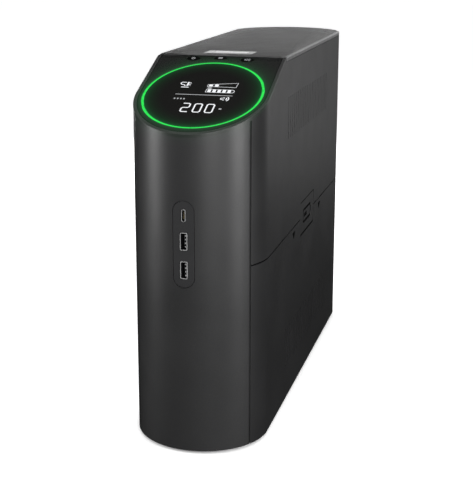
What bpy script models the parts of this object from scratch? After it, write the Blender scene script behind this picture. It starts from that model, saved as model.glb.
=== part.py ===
"""Tower uninterruptible power supply, with its covers, display face, sockets and works inside.

Units are metres and +Z is up. The front faces -Y and the battery door faces +X. The origin is
the middle of the footprint, on the surface that the rubber feet stand on.
"""

import math

import bmesh
import bpy
from mathutils import Matrix, Vector

# Overall size
WIDTH = 0.110
DEPTH = 0.400
HEIGHT = 0.307

# Plan outline: a half ellipse in front, flat sides, and a circular arc behind
FRONT_BULGE = 0.0523
REAR_BULGE = 0.0445
FRONT_STEPS = 24
REAR_STEPS = 14

# Shells
WALL = 0.0025
SHUT_LINE = 0.0005
FIT_GAP = 0.0004
SHELL_BOTTOM = 0.0024
SEAM_HEIGHT = 0.1533
FRONT_SEAM_X = 0.0467
LID_THICKNESS = 0.0034

# Slanted display face
SLOPE = 0.442
FACE_TOP_Y = -0.0927
RIM_WIDTH = 0.0028
RIM_THICKNESS = 0.0020
FACE_SINK = 0.0002
FACE_THICKNESS = 0.0028
RING_CENTRE_Y = -0.1473
RING_RADIUS = 0.0480
RING_WIDTH = 0.0022
RING_SINK = 0.0009
RING_STEPS = 56

# Buttons on the slanted face: name, across, up the slope from the ring's centre, width, length
BUTTONS = (
    ("power_button", -0.0230, 0.0546, 0.0110, 0.0066),
    ("menu_button", 0.0, 0.0562, 0.0110, 0.0050),
    ("mute_button", 0.0230, 0.0546, 0.0110, 0.0066),
)
BUTTON_SINK = 0.0003
BUTTON_THICKNESS = 0.0040
BUTTON_TRAVEL = 0.0010

# Front ports
PORT_STRIP = (0.0182, 0.0690)
PORT_STRIP_HEIGHT = 0.1735
USB_C_HEIGHT = 0.1965
USB_A_HEIGHTS = (0.1760, 0.1531)

# Side panels
BADGE_SIZE = (0.0590, 0.0320)
BADGE_Y = 0.0045
BADGE_HEIGHT = 0.1525
VENT_SPAN = (-0.0810, 0.0880)
VENT_COUNT = 23
VENT_WIDTH = 0.0014
VENT_LENGTH = 0.0355
UPPER_VENT_HEIGHT = 0.2550
LOWER_VENT_HEIGHT = 0.0505

# Rear recess and outlet panel
REAR_FRAME_FRONT = 0.1360
PANEL_Y = 0.1443
PANEL_THICKNESS = 0.0025
RECESS_LOW = 0.0240
RECESS_HIGH = 0.2780
POST_X = 0.0492
OUTLET_SIZE = (0.0334, 0.0274)
OUTLET_COLUMNS = (-0.0230, 0.0230)
OUTLET_ROWS = (0.1080, 0.1410, 0.1740, 0.2070, 0.2400)
BATTERY_ROWS = 3
OUTLET_DEPTH = 0.0230
OUTLET_FACE_Y = 0.1465
BLADE_REACH = 0.0064
BLADE_RISE = 0.0035
EARTH_DROP = 0.0065
SLOT_WIDTH = 0.0022
NEUTRAL_SLOT = 0.0084
LIVE_SLOT = 0.0068
EARTH_RADIUS = 0.0026
INLET_CENTRE = (-0.0210, 0.0620)
INLET_SIZE = (0.0270, 0.0260, 0.0205)
BREAKER_CENTRE = (0.0230, 0.0620)
BREAKER_NECK = 0.0062
JACK_CENTRES = ((-0.0300, 0.2670), (-0.0100, 0.2670))
DATA_PORT_CENTRE = (0.0220, 0.2670)
JACK_SIZE = (0.0160, 0.0180, 0.0140)
SCREW_HOLE = 0.0018
SCREW_CENTRES = ((-0.0445, 0.0320), (0.0445, 0.0320), (-0.0445, 0.2690), (0.0445, 0.2690))

# Battery bay and main board
BAY_FRONT = -0.1100
BAY_REAR = 0.0510
SHELF_FRONT = -0.1420
SHELF_REAR = 0.1180
SHELF_HEIGHT = 0.1470
SHELF_THICKNESS = 0.0025
BATTERY_SIZE = (0.0920, 0.1510, 0.0650)
BATTERY_Y = -0.0295
BOARD_THICKNESS = 0.0016
BOARD_HEIGHT = 0.1580
FAN_SIZE = 0.0600
FAN_THICKNESS = 0.0150
FAN_CENTRE = (-0.0440, 0.0350, 0.2550)

HALF = WIDTH / 2
FRONT = -DEPTH / 2
REAR = DEPTH / 2
FRONT_SHOULDER = FRONT + FRONT_BULGE
REAR_SHOULDER = REAR - REAR_BULGE
LEAN = math.atan(SLOPE)
LID_BOTTOM = HEIGHT - LID_THICKNESS
SHELL_TOP = LID_BOTTOM - FIT_GAP
BOARD_TOP = BOARD_HEIGHT + BOARD_THICKNESS

YZ_PLANE = (math.radians(90), 0, math.radians(90))
XZ_PLANE = (math.radians(90), 0, 0)
TILTED = (LEAN, 0, 0)

# Colour, roughness and metallic value of each finish
FINISHES = {
    "shell_grey": ((0.045, 0.045, 0.047), 0.45, 0.0),
    "top_grey": ((0.085, 0.085, 0.088), 0.5, 0.0),
    "gloss_black": ((0.012, 0.013, 0.013), 0.08, 0.0),
    "rim_grey": ((0.050, 0.055, 0.052), 0.4, 0.0),
    "ring_green": ((0.05, 0.85, 0.15), 0.3, 0.0),
    "button_black": ((0.02, 0.02, 0.02), 0.3, 0.0),
    "plate_silver": ((0.55, 0.55, 0.56), 0.35, 0.9),
    "bright_metal": ((0.75, 0.75, 0.76), 0.25, 1.0),
    "brass": ((0.75, 0.58, 0.25), 0.3, 1.0),
    "tongue_black": ((0.03, 0.03, 0.03), 0.5, 0.0),
    "board_green": ((0.02, 0.16, 0.07), 0.45, 0.0),
    "inner_black": ((0.02, 0.02, 0.022), 0.6, 0.0),
    "rubber": ((0.015, 0.015, 0.015), 0.9, 0.0),
    "steel": ((0.45, 0.46, 0.48), 0.4, 1.0),
    "battery_grey": ((0.10, 0.10, 0.11), 0.6, 0.0),
    "copper": ((0.72, 0.33, 0.17), 0.35, 1.0),
    "aluminium": ((0.70, 0.71, 0.72), 0.35, 1.0),
    "capacitor_blue": ((0.03, 0.06, 0.16), 0.35, 0.0),
    "relay_white": ((0.60, 0.60, 0.57), 0.4, 0.0),
    "lead_red": ((0.50, 0.03, 0.02), 0.5, 0.0),
}


# ---------------------------------------------------------------- helpers

def clear_scene():
    for item in list(bpy.data.objects):
        bpy.data.objects.remove(item, do_unlink=True)


def make_collection(name):
    group = bpy.data.collections.new(name)
    bpy.context.scene.collection.children.link(group)
    return group


def make_material(name, colour, roughness, metallic):
    material = bpy.data.materials.new(name)
    material.use_nodes = True
    shader = material.node_tree.nodes["Principled BSDF"]
    shader.inputs["Base Color"].default_value = (*colour, 1.0)
    shader.inputs["Roughness"].default_value = roughness
    shader.inputs["Metallic"].default_value = metallic
    return material


def place(name, mesh, finish, location=(0, 0, 0), rotation=(0, 0, 0)):
    """Adds a mesh as a sub-part, or as a hidden cutter where it has no finish."""
    item = bpy.data.objects.new(name, mesh)
    item.location = location
    item.rotation_euler = rotation
    if finish:
        mesh.materials.append(make_material(name, *FINISHES[finish]))
        PARTS.objects.link(item)
    else:
        CUTTERS.objects.link(item)
        item.hide_render = True
        item.display_type = "WIRE"
    return item


def solid(name, finish, shapes, location=(0, 0, 0), rotation=(0, 0, 0), smooth=False):
    """One object from a list of primitives, each a function that adds itself to a bmesh."""
    mesh = bpy.data.meshes.new(name)
    build = bmesh.new()
    for shape in shapes:
        shape(build)
    build.to_mesh(mesh)
    build.free()
    if smooth:
        mesh.shade_smooth()
        mesh.set_sharp_from_angle(angle=math.radians(40))
    return place(name, mesh, finish, location, rotation)


def cube(size, centre=(0, 0, 0)):
    matrix = Matrix.Translation(centre) @ Matrix.Diagonal((*size, 1.0))
    return lambda build: bmesh.ops.create_cube(build, size=1.0, matrix=matrix)


def rod(radius, length, centre=(0, 0, 0), axis="Z", steps=16):
    turn = {"X": Matrix.Rotation(math.radians(90), 4, "Y"),
            "Y": Matrix.Rotation(math.radians(-90), 4, "X"),
            "Z": Matrix.Identity(4)}[axis]
    matrix = Matrix.Translation(centre) @ turn
    return lambda build: bmesh.ops.create_cone(
        build, cap_ends=True, segments=steps, radius1=radius, radius2=radius, depth=length,
        matrix=matrix)


def prism(name, finish, outlines, thickness, location=(0, 0, 0), rotation=(0, 0, 0)):
    """A flat outline, with any holes as further outlines, made solid about its own plane."""
    curve = bpy.data.curves.new(name, "CURVE")
    curve.dimensions = "2D"
    curve.fill_mode = "BOTH"
    curve.extrude = thickness / 2
    for outline in outlines:
        spline = curve.splines.new("POLY")
        spline.points.add(len(outline) - 1)
        for point, (across, along) in zip(spline.points, outline):
            point.co = (across, along, 0, 1)
        spline.use_cyclic_u = True
    return place(name, mesh_from_curve(name, curve), finish, location, rotation)


def mesh_from_curve(name, curve):
    """The welded mesh of a curve whose caps are filled."""
    drawn = bpy.data.objects.new(name + "_curve", curve)
    bpy.context.scene.collection.objects.link(drawn)
    depsgraph = bpy.context.evaluated_depsgraph_get()
    mesh = bpy.data.meshes.new_from_object(drawn.evaluated_get(depsgraph))
    mesh.name = name
    mesh.materials.clear()
    bpy.data.objects.remove(drawn, do_unlink=True)
    build = bmesh.new()
    build.from_mesh(mesh)
    bmesh.ops.remove_doubles(build, verts=build.verts, dist=0.00001)
    bmesh.ops.recalc_face_normals(build, faces=build.faces)
    build.to_mesh(mesh)
    build.free()
    return mesh


def level_prism(name, finish, outlines, low, high):
    """A plan outline between two heights."""
    return prism(name, finish, outlines, high - low, (0, 0, (low + high) / 2))


def side_prism(name, finish, outline, left, right):
    """An outline of (y, z) points between two values of x."""
    return prism(name, finish, [outline], right - left, ((left + right) / 2, 0, 0), YZ_PLANE)


def span_box(name, finish, low, high):
    """A box between any two opposite corners."""
    low, high = Vector(low), Vector(high)
    size = [abs(reach) for reach in high - low]
    return solid(name, finish, [cube(size)], (low + high) / 2)


def use(target, tool, operation):
    step = target.modifiers.new(tool.name, "BOOLEAN")
    step.operation = operation
    step.solver = "EXACT"
    step.object = tool


def cut(target, *tools):
    for tool in tools:
        use(target, tool, "DIFFERENCE")
    return target


def keep(target, *tools):
    for tool in tools:
        use(target, tool, "INTERSECT")
    return target


def join(target, *tools):
    for tool in tools:
        use(target, tool, "UNION")
    return target


def bevel(target, width, segments=1):
    step = target.modifiers.new("edges", "BEVEL")
    step.width = width
    step.segments = segments
    step.limit_method = "ANGLE"
    step.angle_limit = math.radians(50)
    return target


# ---------------------------------------------------------------- outlines

def front_arc(inset):
    """The half ellipse from the right shoulder round to the left one, moved inwards."""
    points = []
    for step in range(FRONT_STEPS + 1):
        turn = math.pi * step / FRONT_STEPS
        across, forward = math.cos(turn), -math.sin(turn)
        normal = Vector((across / HALF, forward / FRONT_BULGE)).normalized()
        points.append((HALF * across - inset * normal.x,
                       FRONT_SHOULDER + FRONT_BULGE * forward - inset * normal.y))
    return points


def rear_arc(inset):
    """The rear arc from the left corner round to the right one, moved inwards."""
    outer = (HALF ** 2 + REAR_BULGE ** 2) / (2 * REAR_BULGE)
    radius = outer - inset
    reach = math.asin((HALF - inset) / radius)
    turns = [reach * (2 * step / REAR_STEPS - 1) for step in range(REAR_STEPS + 1)]
    return [(radius * math.sin(turn), REAR - outer + radius * math.cos(turn)) for turn in turns]


def body_outline(inset, rear_cut=None):
    """The plan outline moved inwards, with a straight end where rear_cut is given."""
    side = HALF - inset
    behind = rear_arc(inset) if rear_cut is None else [(-side, rear_cut), (side, rear_cut)]
    return front_arc(inset) + behind


def circle(radius, steps, centre=(0, 0)):
    turns = [2 * math.pi * step / steps for step in range(steps)]
    return [(centre[0] + radius * math.cos(turn), centre[1] + radius * math.sin(turn))
            for turn in turns]


def oval(width, length, steps=24, centre=(0, 0)):
    return [(centre[0] + x * width / 2, centre[1] + y * length / 2) for x, y in circle(1, steps)]


def rectangle(width, length, centre=(0, 0)):
    x, y = width / 2, length / 2
    corners = ((-x, -y), (x, -y), (x, y), (-x, y))
    return [(centre[0] + dx, centre[1] + dy) for dx, dy in corners]


def stadium(width, length, steps=8, centre=(0, 0)):
    """A rectangle with half-round ends at top and bottom."""
    radius = width / 2
    reach = length / 2 - radius
    points = []
    for end, start in ((reach, 0), (-reach, math.pi)):
        for step in range(steps + 1):
            turn = start + math.pi * step / steps
            points.append((centre[0] + radius * math.cos(turn),
                           centre[1] + end + radius * math.sin(turn)))
    return points


def face_height(y):
    """The height of the slanted face above a point of the plan."""
    return HEIGHT - SLOPE * (FACE_TOP_Y - y)


def on_face(across, up, sink):
    """A point of the slanted face, measured from the ring's centre and sunk below the face."""
    return (across,
            RING_CENTRE_Y + up * math.cos(LEAN) + sink * math.sin(LEAN),
            face_height(RING_CENTRE_Y) + up * math.sin(LEAN) - sink * math.cos(LEAN))


def face_layer(name, top_sink, bottom_sink):
    """A cutter between two depths below the slanted face, up to the lid's front edge."""
    near, far = FRONT - 0.010, FACE_TOP_Y - FIT_GAP
    drop_top, drop_bottom = (sink / math.cos(LEAN) for sink in (top_sink, bottom_sink))
    outline = [(near, face_height(near) - drop_bottom), (far, face_height(far) - drop_bottom),
               (far, face_height(far) - drop_top), (near, face_height(near) - drop_top)]
    return side_prism(name, None, outline, -WIDTH, WIDTH)


# ---------------------------------------------------------------- outer shells

def shell_pieces():
    """Front panel and the four side covers, cut from one wall that follows the plan."""
    drop = (RIM_THICKNESS + FIT_GAP) / math.cos(LEAN)
    bend = FACE_TOP_Y + (drop - (HEIGHT - SHELL_TOP)) / SLOPE
    near, far, above = FRONT - 0.010, REAR + 0.010, HEIGHT + 0.020
    roof = side_prism("roof_cutter", None, [
        (near, face_height(near) - drop), (bend, SHELL_TOP), (far, SHELL_TOP),
        (far, above), (near, above)], -WIDTH, WIDTH)

    strip_hole = prism("port_strip_hole", None,
                       [stadium(PORT_STRIP[0] + 2 * FIT_GAP, PORT_STRIP[1] + 2 * FIT_GAP)],
                       0.012, (0, FRONT, PORT_STRIP_HEIGHT), XZ_PLANE)
    clear = SHUT_LINE / 2
    walls = [body_outline(0), body_outline(WALL)]

    front = level_prism("front_panel", "shell_grey", walls, SHELL_BOTTOM, SHELL_TOP)
    reach = FRONT_SEAM_X - clear
    zone = span_box("front_zone", None, (-reach, near, -0.01), (reach, FRONT_SHOULDER, above))
    keep(front, zone)
    cut(front, roof, strip_hole)

    for side, sign in (("right", 1), ("left", -1)):
        badge_hole = span_box(
            side + "_badge_hole", None,
            (sign * 0.040, BADGE_Y - BADGE_SIZE[0] / 2, BADGE_HEIGHT - BADGE_SIZE[1] / 2),
            (sign * 0.060, BADGE_Y + BADGE_SIZE[0] / 2, BADGE_HEIGHT + BADGE_SIZE[1] / 2))
        for level, low, high, vents in (
                ("upper", SEAM_HEIGHT + clear, SHELL_TOP, UPPER_VENT_HEIGHT),
                ("lower", SHELL_BOTTOM, SEAM_HEIGHT - clear, LOWER_VENT_HEIGHT)):
            name = f"{side}_{level}_cover"
            if (side, level) == ("right", "lower"):
                name = "battery_door"
            cover = level_prism(name, "shell_grey", walls, low, high)
            zone = span_box(name + "_zone", None,
                            (sign * (FRONT_SEAM_X + clear), near, -0.01),
                            (sign * WIDTH, REAR_SHOULDER - SHUT_LINE, above))
            keep(cover, zone)
            cut(cover, roof, badge_hole, vent_cutter(name + "_vents", sign, vents))

        plate = (sign * (HALF - 0.0014), BADGE_Y, BADGE_HEIGHT)
        solid(side + "_badge", "rim_grey", [cube((
            0.0020, BADGE_SIZE[0] - 2 * FIT_GAP, BADGE_SIZE[1] - 2 * FIT_GAP))], plate)


def vent_cutter(name, sign, height):
    """A row of upright slots through one side wall."""
    first, last = VENT_SPAN
    pitch = (last - first) / (VENT_COUNT - 1)
    slots = [cube((0.020, VENT_WIDTH, VENT_LENGTH), (sign * HALF, first + pitch * number, height))
             for number in range(VENT_COUNT)]
    return solid(name, None, slots)


def lid():
    """Top panel, with a chamfered edge, and the plain plate let into it."""
    outline = [(-HALF, FACE_TOP_Y + FIT_GAP)] + rear_arc(0) + [(HALF, FACE_TOP_Y + FIT_GAP)]
    panel = level_prism("top_panel", "top_grey", [outline], LID_BOTTOM, HEIGHT)
    bevel(panel, 0.0010)
    plate_size = (0.0420, 0.0210, 0.0008)
    plate_y = FACE_TOP_Y + 0.0277
    pocket = solid("plate_pocket", None, [cube((
        plate_size[0] + 2 * FIT_GAP, plate_size[1] + 2 * FIT_GAP, 0.0030))],
        (0, plate_y, HEIGHT + 0.0003))
    cut(panel, pocket)
    solid("top_plate", "plate_silver", [cube(plate_size)],
          (0, plate_y, HEIGHT - plate_size[2] / 2))


def base():
    """Tray that closes the bottom, and the feet under it."""
    rear_cut = REAR_FRAME_FRONT - FIT_GAP
    inset = WALL + SHUT_LINE
    tray = level_prism("base_tray", "inner_black", [body_outline(inset, rear_cut)],
                       SHELL_BOTTOM, 0.0140)
    hollow = level_prism("tray_hollow", None, [body_outline(inset + 0.002, rear_cut - 0.002)],
                         0.0050, 0.0200)
    cut(tray, hollow)
    foot_height = SHELL_BOTTOM - 0.0003
    for end, y in (("front", -0.135), ("rear", 0.115)):
        for side, x in (("left", -0.036), ("right", 0.036)):
            solid(f"{end}_{side}_foot", "rubber", [rod(0.0090, foot_height, steps=20)],
                  (x, y, foot_height / 2), smooth=True)


# ---------------------------------------------------------------- display face

def display_face():
    """Rim, glossy panel, light ring, window and buttons on the slanted face."""
    rim = level_prism("display_bezel", "rim_grey",
                      [body_outline(0, 0), body_outline(RIM_WIDTH, 0)], 0.240, HEIGHT)
    keep(rim, face_layer("rim_layer", 0, RIM_THICKNESS))

    panel = level_prism("control_panel", "gloss_black",
                        [body_outline(RIM_WIDTH + FIT_GAP, 0)], 0.240, HEIGHT)
    keep(panel, face_layer("panel_layer", FACE_SINK, FACE_SINK + FACE_THICKNESS))
    ring_outer = RING_RADIUS + RING_WIDTH / 2
    ring_inner = RING_RADIUS - RING_WIDTH / 2
    gap = 0.0003
    middle = FACE_SINK + FACE_THICKNESS / 2
    hole = solid("ring_hole", None, [rod(ring_outer + gap, 0.020, steps=RING_STEPS)],
                 on_face(0, 0, middle), TILTED)
    cut(panel, hole)

    solid("display_window", "gloss_black",
          [rod(ring_inner - gap, FACE_THICKNESS, steps=RING_STEPS)],
          on_face(0, 0, middle), TILTED, smooth=True)

    ring_depth = FACE_SINK + FACE_THICKNESS - RING_SINK
    prism("ring_light", "ring_green",
          [circle(ring_outer, RING_STEPS), circle(ring_inner, RING_STEPS)],
          ring_depth, on_face(0, 0, RING_SINK + ring_depth / 2), TILTED)

    for name, across, up, width, length in BUTTONS:
        centre = on_face(across, up, BUTTON_SINK + BUTTON_THICKNESS / 2)
        prism(name, "button_black", [oval(width, length)], BUTTON_THICKNESS, centre, TILTED)
        opening = prism(name + "_hole", None,
                        [oval(width + 2 * FIT_GAP, length + 2 * FIT_GAP)], 0.020, centre, TILTED)
        cut(panel, opening)


def display_works():
    """Boards and the screen behind the slanted face."""
    behind = FACE_SINK + FACE_THICKNESS + FIT_GAP
    led_board = 0.0012
    prism("ring_led_board", "board_green",
          [circle(0.0510, 40), circle(0.0430, 40)], led_board,
          on_face(0, 0, behind + led_board / 2), TILTED)
    screen = (0.0560, 0.0520, 0.0040)
    solid("lcd_module", "inner_black", [cube(screen)],
          on_face(0, -0.0050, behind + screen[2] / 2), TILTED)

    switch_top = BUTTON_SINK + BUTTON_THICKNESS + BUTTON_TRAVEL + 0.0002
    switch = (0.0060, 0.0045, 0.0034)
    board_sink = switch_top + switch[2] - 0.0004
    board = solid("control_board", "board_green", [cube((0.0760, 0.0960, BOARD_THICKNESS))],
                  on_face(0, 0.0110, board_sink + BOARD_THICKNESS / 2), TILTED)
    join(board, solid("tact_switches", None, [
        cube(switch, (across, up, 0)) for _, across, up, _, _ in BUTTONS],
        on_face(0, 0, switch_top + switch[2] / 2), TILTED))


# ---------------------------------------------------------------- front ports

def front_ports():
    """The port strip with one small and two large upright sockets."""
    plate_y = FRONT + 0.0006
    plate_thickness = 0.0024
    c_size = (0.0038, 0.0104)
    a_size = (0.0066, 0.0144)
    rise = USB_C_HEIGHT - PORT_STRIP_HEIGHT
    holes = [stadium(c_size[0] + 2 * FIT_GAP, c_size[1] + 2 * FIT_GAP, 6, (0, rise))]
    holes += [rectangle(a_size[0] + 2 * FIT_GAP, a_size[1] + 2 * FIT_GAP,
                        (0, height - PORT_STRIP_HEIGHT)) for height in USB_A_HEIGHTS]
    prism("port_panel", "inner_black", [stadium(*PORT_STRIP)] + holes, plate_thickness,
          (0, plate_y + plate_thickness / 2, PORT_STRIP_HEIGHT), XZ_PLANE)

    shell_y, shell_length, wall = FRONT + 0.0003, 0.0140, 0.0004
    usb_socket("usb_c_socket", stadium(*c_size, 6),
               stadium(c_size[0] - 2 * wall, c_size[1] - 2 * wall, 6),
               (0.0008, 0.0066), 0.0, USB_C_HEIGHT, shell_y, shell_length)
    wall = 0.0006
    for name, height in zip(("upper_usb_socket", "lower_usb_socket"), USB_A_HEIGHTS):
        usb_socket(name, rectangle(*a_size),
                   rectangle(a_size[0] - 2 * wall, a_size[1] - 2 * wall),
                   (0.0019, 0.0112), 0.0011, height, shell_y, shell_length)
    board_y = shell_y + shell_length + FIT_GAP
    span_box("usb_board", "board_green", (-0.0090, board_y, 0.1390),
             (0.0090, board_y + BOARD_THICKNESS, 0.2080))


def usb_socket(name, outer, inner, tongue, tongue_x, height, start, length):
    """A metal sleeve closed at the back, with the contact tongue standing in it."""
    sleeve = prism(name, "bright_metal", [outer, inner], length,
                   (0, start + length / 2, height), XZ_PLANE)
    back = prism(name + "_back", None, [outer], 0.0020,
                 (0, start + length - 0.0010, height), XZ_PLANE)
    tongue_length = 0.0110
    middle = start + length - 0.0010 - tongue_length / 2
    blade = solid(name + "_tongue", None, [cube((tongue[0], tongue_length, tongue[1]))],
                  (tongue_x, middle, height))
    join(sleeve, back, blade)


# ---------------------------------------------------------------- rear

def rear_frame():
    """Hood, foot and curved fins around the recess that shelters the plugs."""
    side = HALF - WALL - 0.0003
    step_y = REAR_SHOULDER - 0.0003
    outline = ([(-side, REAR_FRAME_FRONT), (-side, step_y)] + rear_arc(0)
               + [(side, step_y), (side, REAR_FRAME_FRONT)])
    frame = level_prism("rear_frame", "shell_grey", [outline], SHELL_BOTTOM, SHELL_TOP)
    wall = WALL + 0.0005
    far = REAR + 0.010
    flange, mouth = 0.0420, 0.0455
    panel_front = PANEL_Y - PANEL_THICKNESS - 0.0003
    recess = [(-POST_X, panel_front)] + rear_arc(wall)[1:-1] + [(POST_X, panel_front)]
    cut(frame,
        level_prism("recess", None, [recess], RECESS_LOW, RECESS_HIGH),
        span_box("recess_mouth", None, (-mouth, REAR_SHOULDER, RECESS_LOW),
                 (mouth, far, RECESS_HIGH)),
        span_box("recess_front", None, (-flange, REAR_FRAME_FRONT - 0.010, RECESS_LOW),
                 (flange, panel_front + 0.001, RECESS_HIGH)))
    for name, low, high in (("foot_hollow", SHELL_BOTTOM + wall, RECESS_LOW - wall),
                            ("hood_hollow", RECESS_HIGH + wall, SHELL_TOP - wall)):
        front = REAR_FRAME_FRONT - 0.010
        hollow = [(wall - side, front)] + rear_arc(wall)[1:-1] + [(side - wall, front)]
        cut(frame, level_prism(name, None, [hollow], low, high))
    cut(frame, solid("screw_holes", None, [
        rod(SCREW_HOLE, 0.0160, (x, panel_front, z), "Y", 12) for x, z in SCREW_CENTRES]))


def outlet_panel():
    """Flat panel with a hole for each socket, and the screws that hold it."""
    middle = (RECESS_LOW + RECESS_HIGH) / 2
    grow = 2 * 0.0003
    holes = [rectangle(OUTLET_SIZE[0] + grow, OUTLET_SIZE[1] + grow, (x, z - middle))
             for x in OUTLET_COLUMNS for z in OUTLET_ROWS]
    for width, x, z in (jack_block(JACK_CENTRES), jack_block((DATA_PORT_CENTRE,))):
        holes.append(rectangle(width + grow, JACK_SIZE[2] + grow, (x, z - middle)))
    holes.append(rectangle(INLET_SIZE[0] + grow, INLET_SIZE[2] + grow,
                           (INLET_CENTRE[0], INLET_CENTRE[1] - middle)))
    holes.append(circle(BREAKER_NECK + FIT_GAP, 20,
                        (BREAKER_CENTRE[0], BREAKER_CENTRE[1] - middle)))
    holes += [circle(SCREW_HOLE, 12, (x, z - middle)) for x, z in SCREW_CENTRES]
    size = (2 * (POST_X - FIT_GAP), RECESS_HIGH - RECESS_LOW - 2 * FIT_GAP)
    prism("outlet_panel", "inner_black", [rectangle(*size)] + holes, PANEL_THICKNESS,
          (0, PANEL_Y - PANEL_THICKNESS / 2, middle), XZ_PLANE)

    shank_radius, shank_length = 0.0014, 0.0100
    head_radius, head_height = 0.0029, 0.0015
    for number, (x, z) in enumerate(SCREW_CENTRES, start=1):
        shank = solid(f"panel_screw_{number}", "steel",
                      [rod(shank_radius, shank_length, axis="Y", steps=12)],
                      (x, PANEL_Y - 0.0040, z), smooth=True)
        seat_y = PANEL_Y + 0.0003 + head_height / 2
        join(shank, solid(f"screw_head_{number}", None, [
            rod(head_radius, head_height, (x, seat_y, z), "Y", 16)]))


def jack_block(centres):
    """The width of a moulded block of sockets, and the x and z of its middle."""
    width = centres[-1][0] - centres[0][0] + JACK_SIZE[0]
    return width, (centres[0][0] + centres[-1][0]) / 2, centres[0][1]


def outlets():
    """Two moulded banks of sockets, and the bus bars whose contacts reach into their slots."""
    base_thickness = 0.0040
    back = OUTLET_FACE_Y - OUTLET_DEPTH
    middle = OUTLET_FACE_Y - OUTLET_DEPTH / 2
    for name, rows in (("battery_outlets", OUTLET_ROWS[-BATTERY_ROWS:]),
                       ("surge_outlets", OUTLET_ROWS[:-BATTERY_ROWS])):
        places = [(x, z) for x in OUTLET_COLUMNS for z in rows]
        reach = (OUTLET_COLUMNS[1] - OUTLET_COLUMNS[0] + OUTLET_SIZE[0]) / 2
        bank = span_box(name, "inner_black", (-reach, back, rows[0] - OUTLET_SIZE[1] / 2),
                        (reach, back + base_thickness, rows[-1] + OUTLET_SIZE[1] / 2))
        blocks = [cube((OUTLET_SIZE[0], OUTLET_DEPTH - 0.0010, OUTLET_SIZE[1]),
                       (x, middle + 0.0005, z)) for x, z in places]
        join(bank, solid(name + "_blocks", None, blocks))
        length = OUTLET_DEPTH + 0.0040
        slots = []
        for x, z in places:
            slots.append(cube((SLOT_WIDTH, length, NEUTRAL_SLOT),
                              (x + BLADE_REACH, middle, z + BLADE_RISE)))
            slots.append(cube((SLOT_WIDTH, length, LIVE_SLOT),
                              (x - BLADE_REACH, middle, z + BLADE_RISE)))
            slots.append(rod(EARTH_RADIUS, length, (x, middle, z - EARTH_DROP), "Y", 14))
        cut(bank, solid(name + "_slots", None, slots))
    bus_bars(back)


def bus_bars(back):
    """Live, neutral and earth bars behind the banks, each linked across the two columns."""
    bar_back, bar_front = back - 0.0020, back - 0.0006
    tip = OUTLET_FACE_Y - 0.0045
    half = 0.0015
    low_row, high_row = OUTLET_ROWS[0], OUTLET_ROWS[-1]
    contact = 0.0025
    for name, offset, rise, low, high in (
            ("live_bus_bar", -BLADE_REACH, BLADE_RISE, 0, 0.0065),
            ("neutral_bus_bar", BLADE_REACH, BLADE_RISE, 0, 0.0027),
            ("earth_bus_bar", 0, -EARTH_DROP, 0.0055, 0.0027)):
        left, right = (x + offset for x in OUTLET_COLUMNS)
        bottom = low_row + rise - contact - low
        top = high_row + rise + high
        link_y = (bar_back, bar_front)
        if name == "live_bus_bar":
            link_z = (top - 2 * half, top)
        elif name == "earth_bus_bar":
            link_z = (bottom, bottom + 2 * half)
        else:
            link_y = (bar_back - 0.0066, bar_back - 0.0054)
            link_z = (0.1700, 0.1730)
        bar = span_box(name, "brass", (left, link_y[0], link_z[0]), (right, link_y[1], link_z[1]))
        for side, x in (("left", left), ("right", right)):
            join(bar, span_box(f"{name}_{side}", None, (x - half, bar_back, bottom),
                               (x + half, bar_front, top)))
            if name == "neutral_bus_bar":
                join(bar, span_box(f"{name}_{side}_leg", None,
                                   (x - half + 0.0002, link_y[0] - 0.0001, link_z[0] - 0.0002),
                                   (x + half - 0.0002, bar_front - 0.0004, link_z[1] + 0.0002)))
            length = tip - bar_front + 0.0006
            contact_y = tip - length / 2
            if name == "earth_bus_bar":
                tabs = [rod(EARTH_RADIUS / 2, length, (x, contact_y, z + rise), "Y", 10)
                        for z in OUTLET_ROWS]
            else:
                tabs = [cube((half - 0.0007, length, 2 * contact - 0.0002),
                             (x, contact_y, z + rise)) for z in OUTLET_ROWS]
            join(bar, solid(f"{name}_{side}_tabs", None, tabs))


def power_inlet():
    """Mains inlet: a shrouded pocket with three blades standing on its floor."""
    x, z = INLET_CENTRE
    wall, lip, floor, flange_thickness = 0.0022, 0.0025, 0.0060, 0.0020
    body = solid("power_inlet", "tongue_black", [cube(INLET_SIZE)], (x, PANEL_Y - 0.0110, z))
    flange = solid("inlet_flange", None, [
        cube((INLET_SIZE[0] + 2 * lip, flange_thickness, INLET_SIZE[2] + 2 * lip))],
        (x, PANEL_Y + 0.0003 + flange_thickness / 2, z))
    pocket = solid("inlet_pocket", None, [
        cube((INLET_SIZE[0] - 2 * wall, INLET_SIZE[1], INLET_SIZE[2] - 2 * wall))],
        (x, PANEL_Y - 0.0110 + floor, z))
    cut(join(body, flange), pocket)
    blade = (0.0040, 0.0160, 0.0020)
    blades = [cube(blade, (x + dx, PANEL_Y - 0.0120, z + dz))
              for dx, dz in ((-0.0070, -0.0030), (0.0070, -0.0030), (0.0, 0.0005))]
    join(body, solid("inlet_blades", None, blades))


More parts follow.
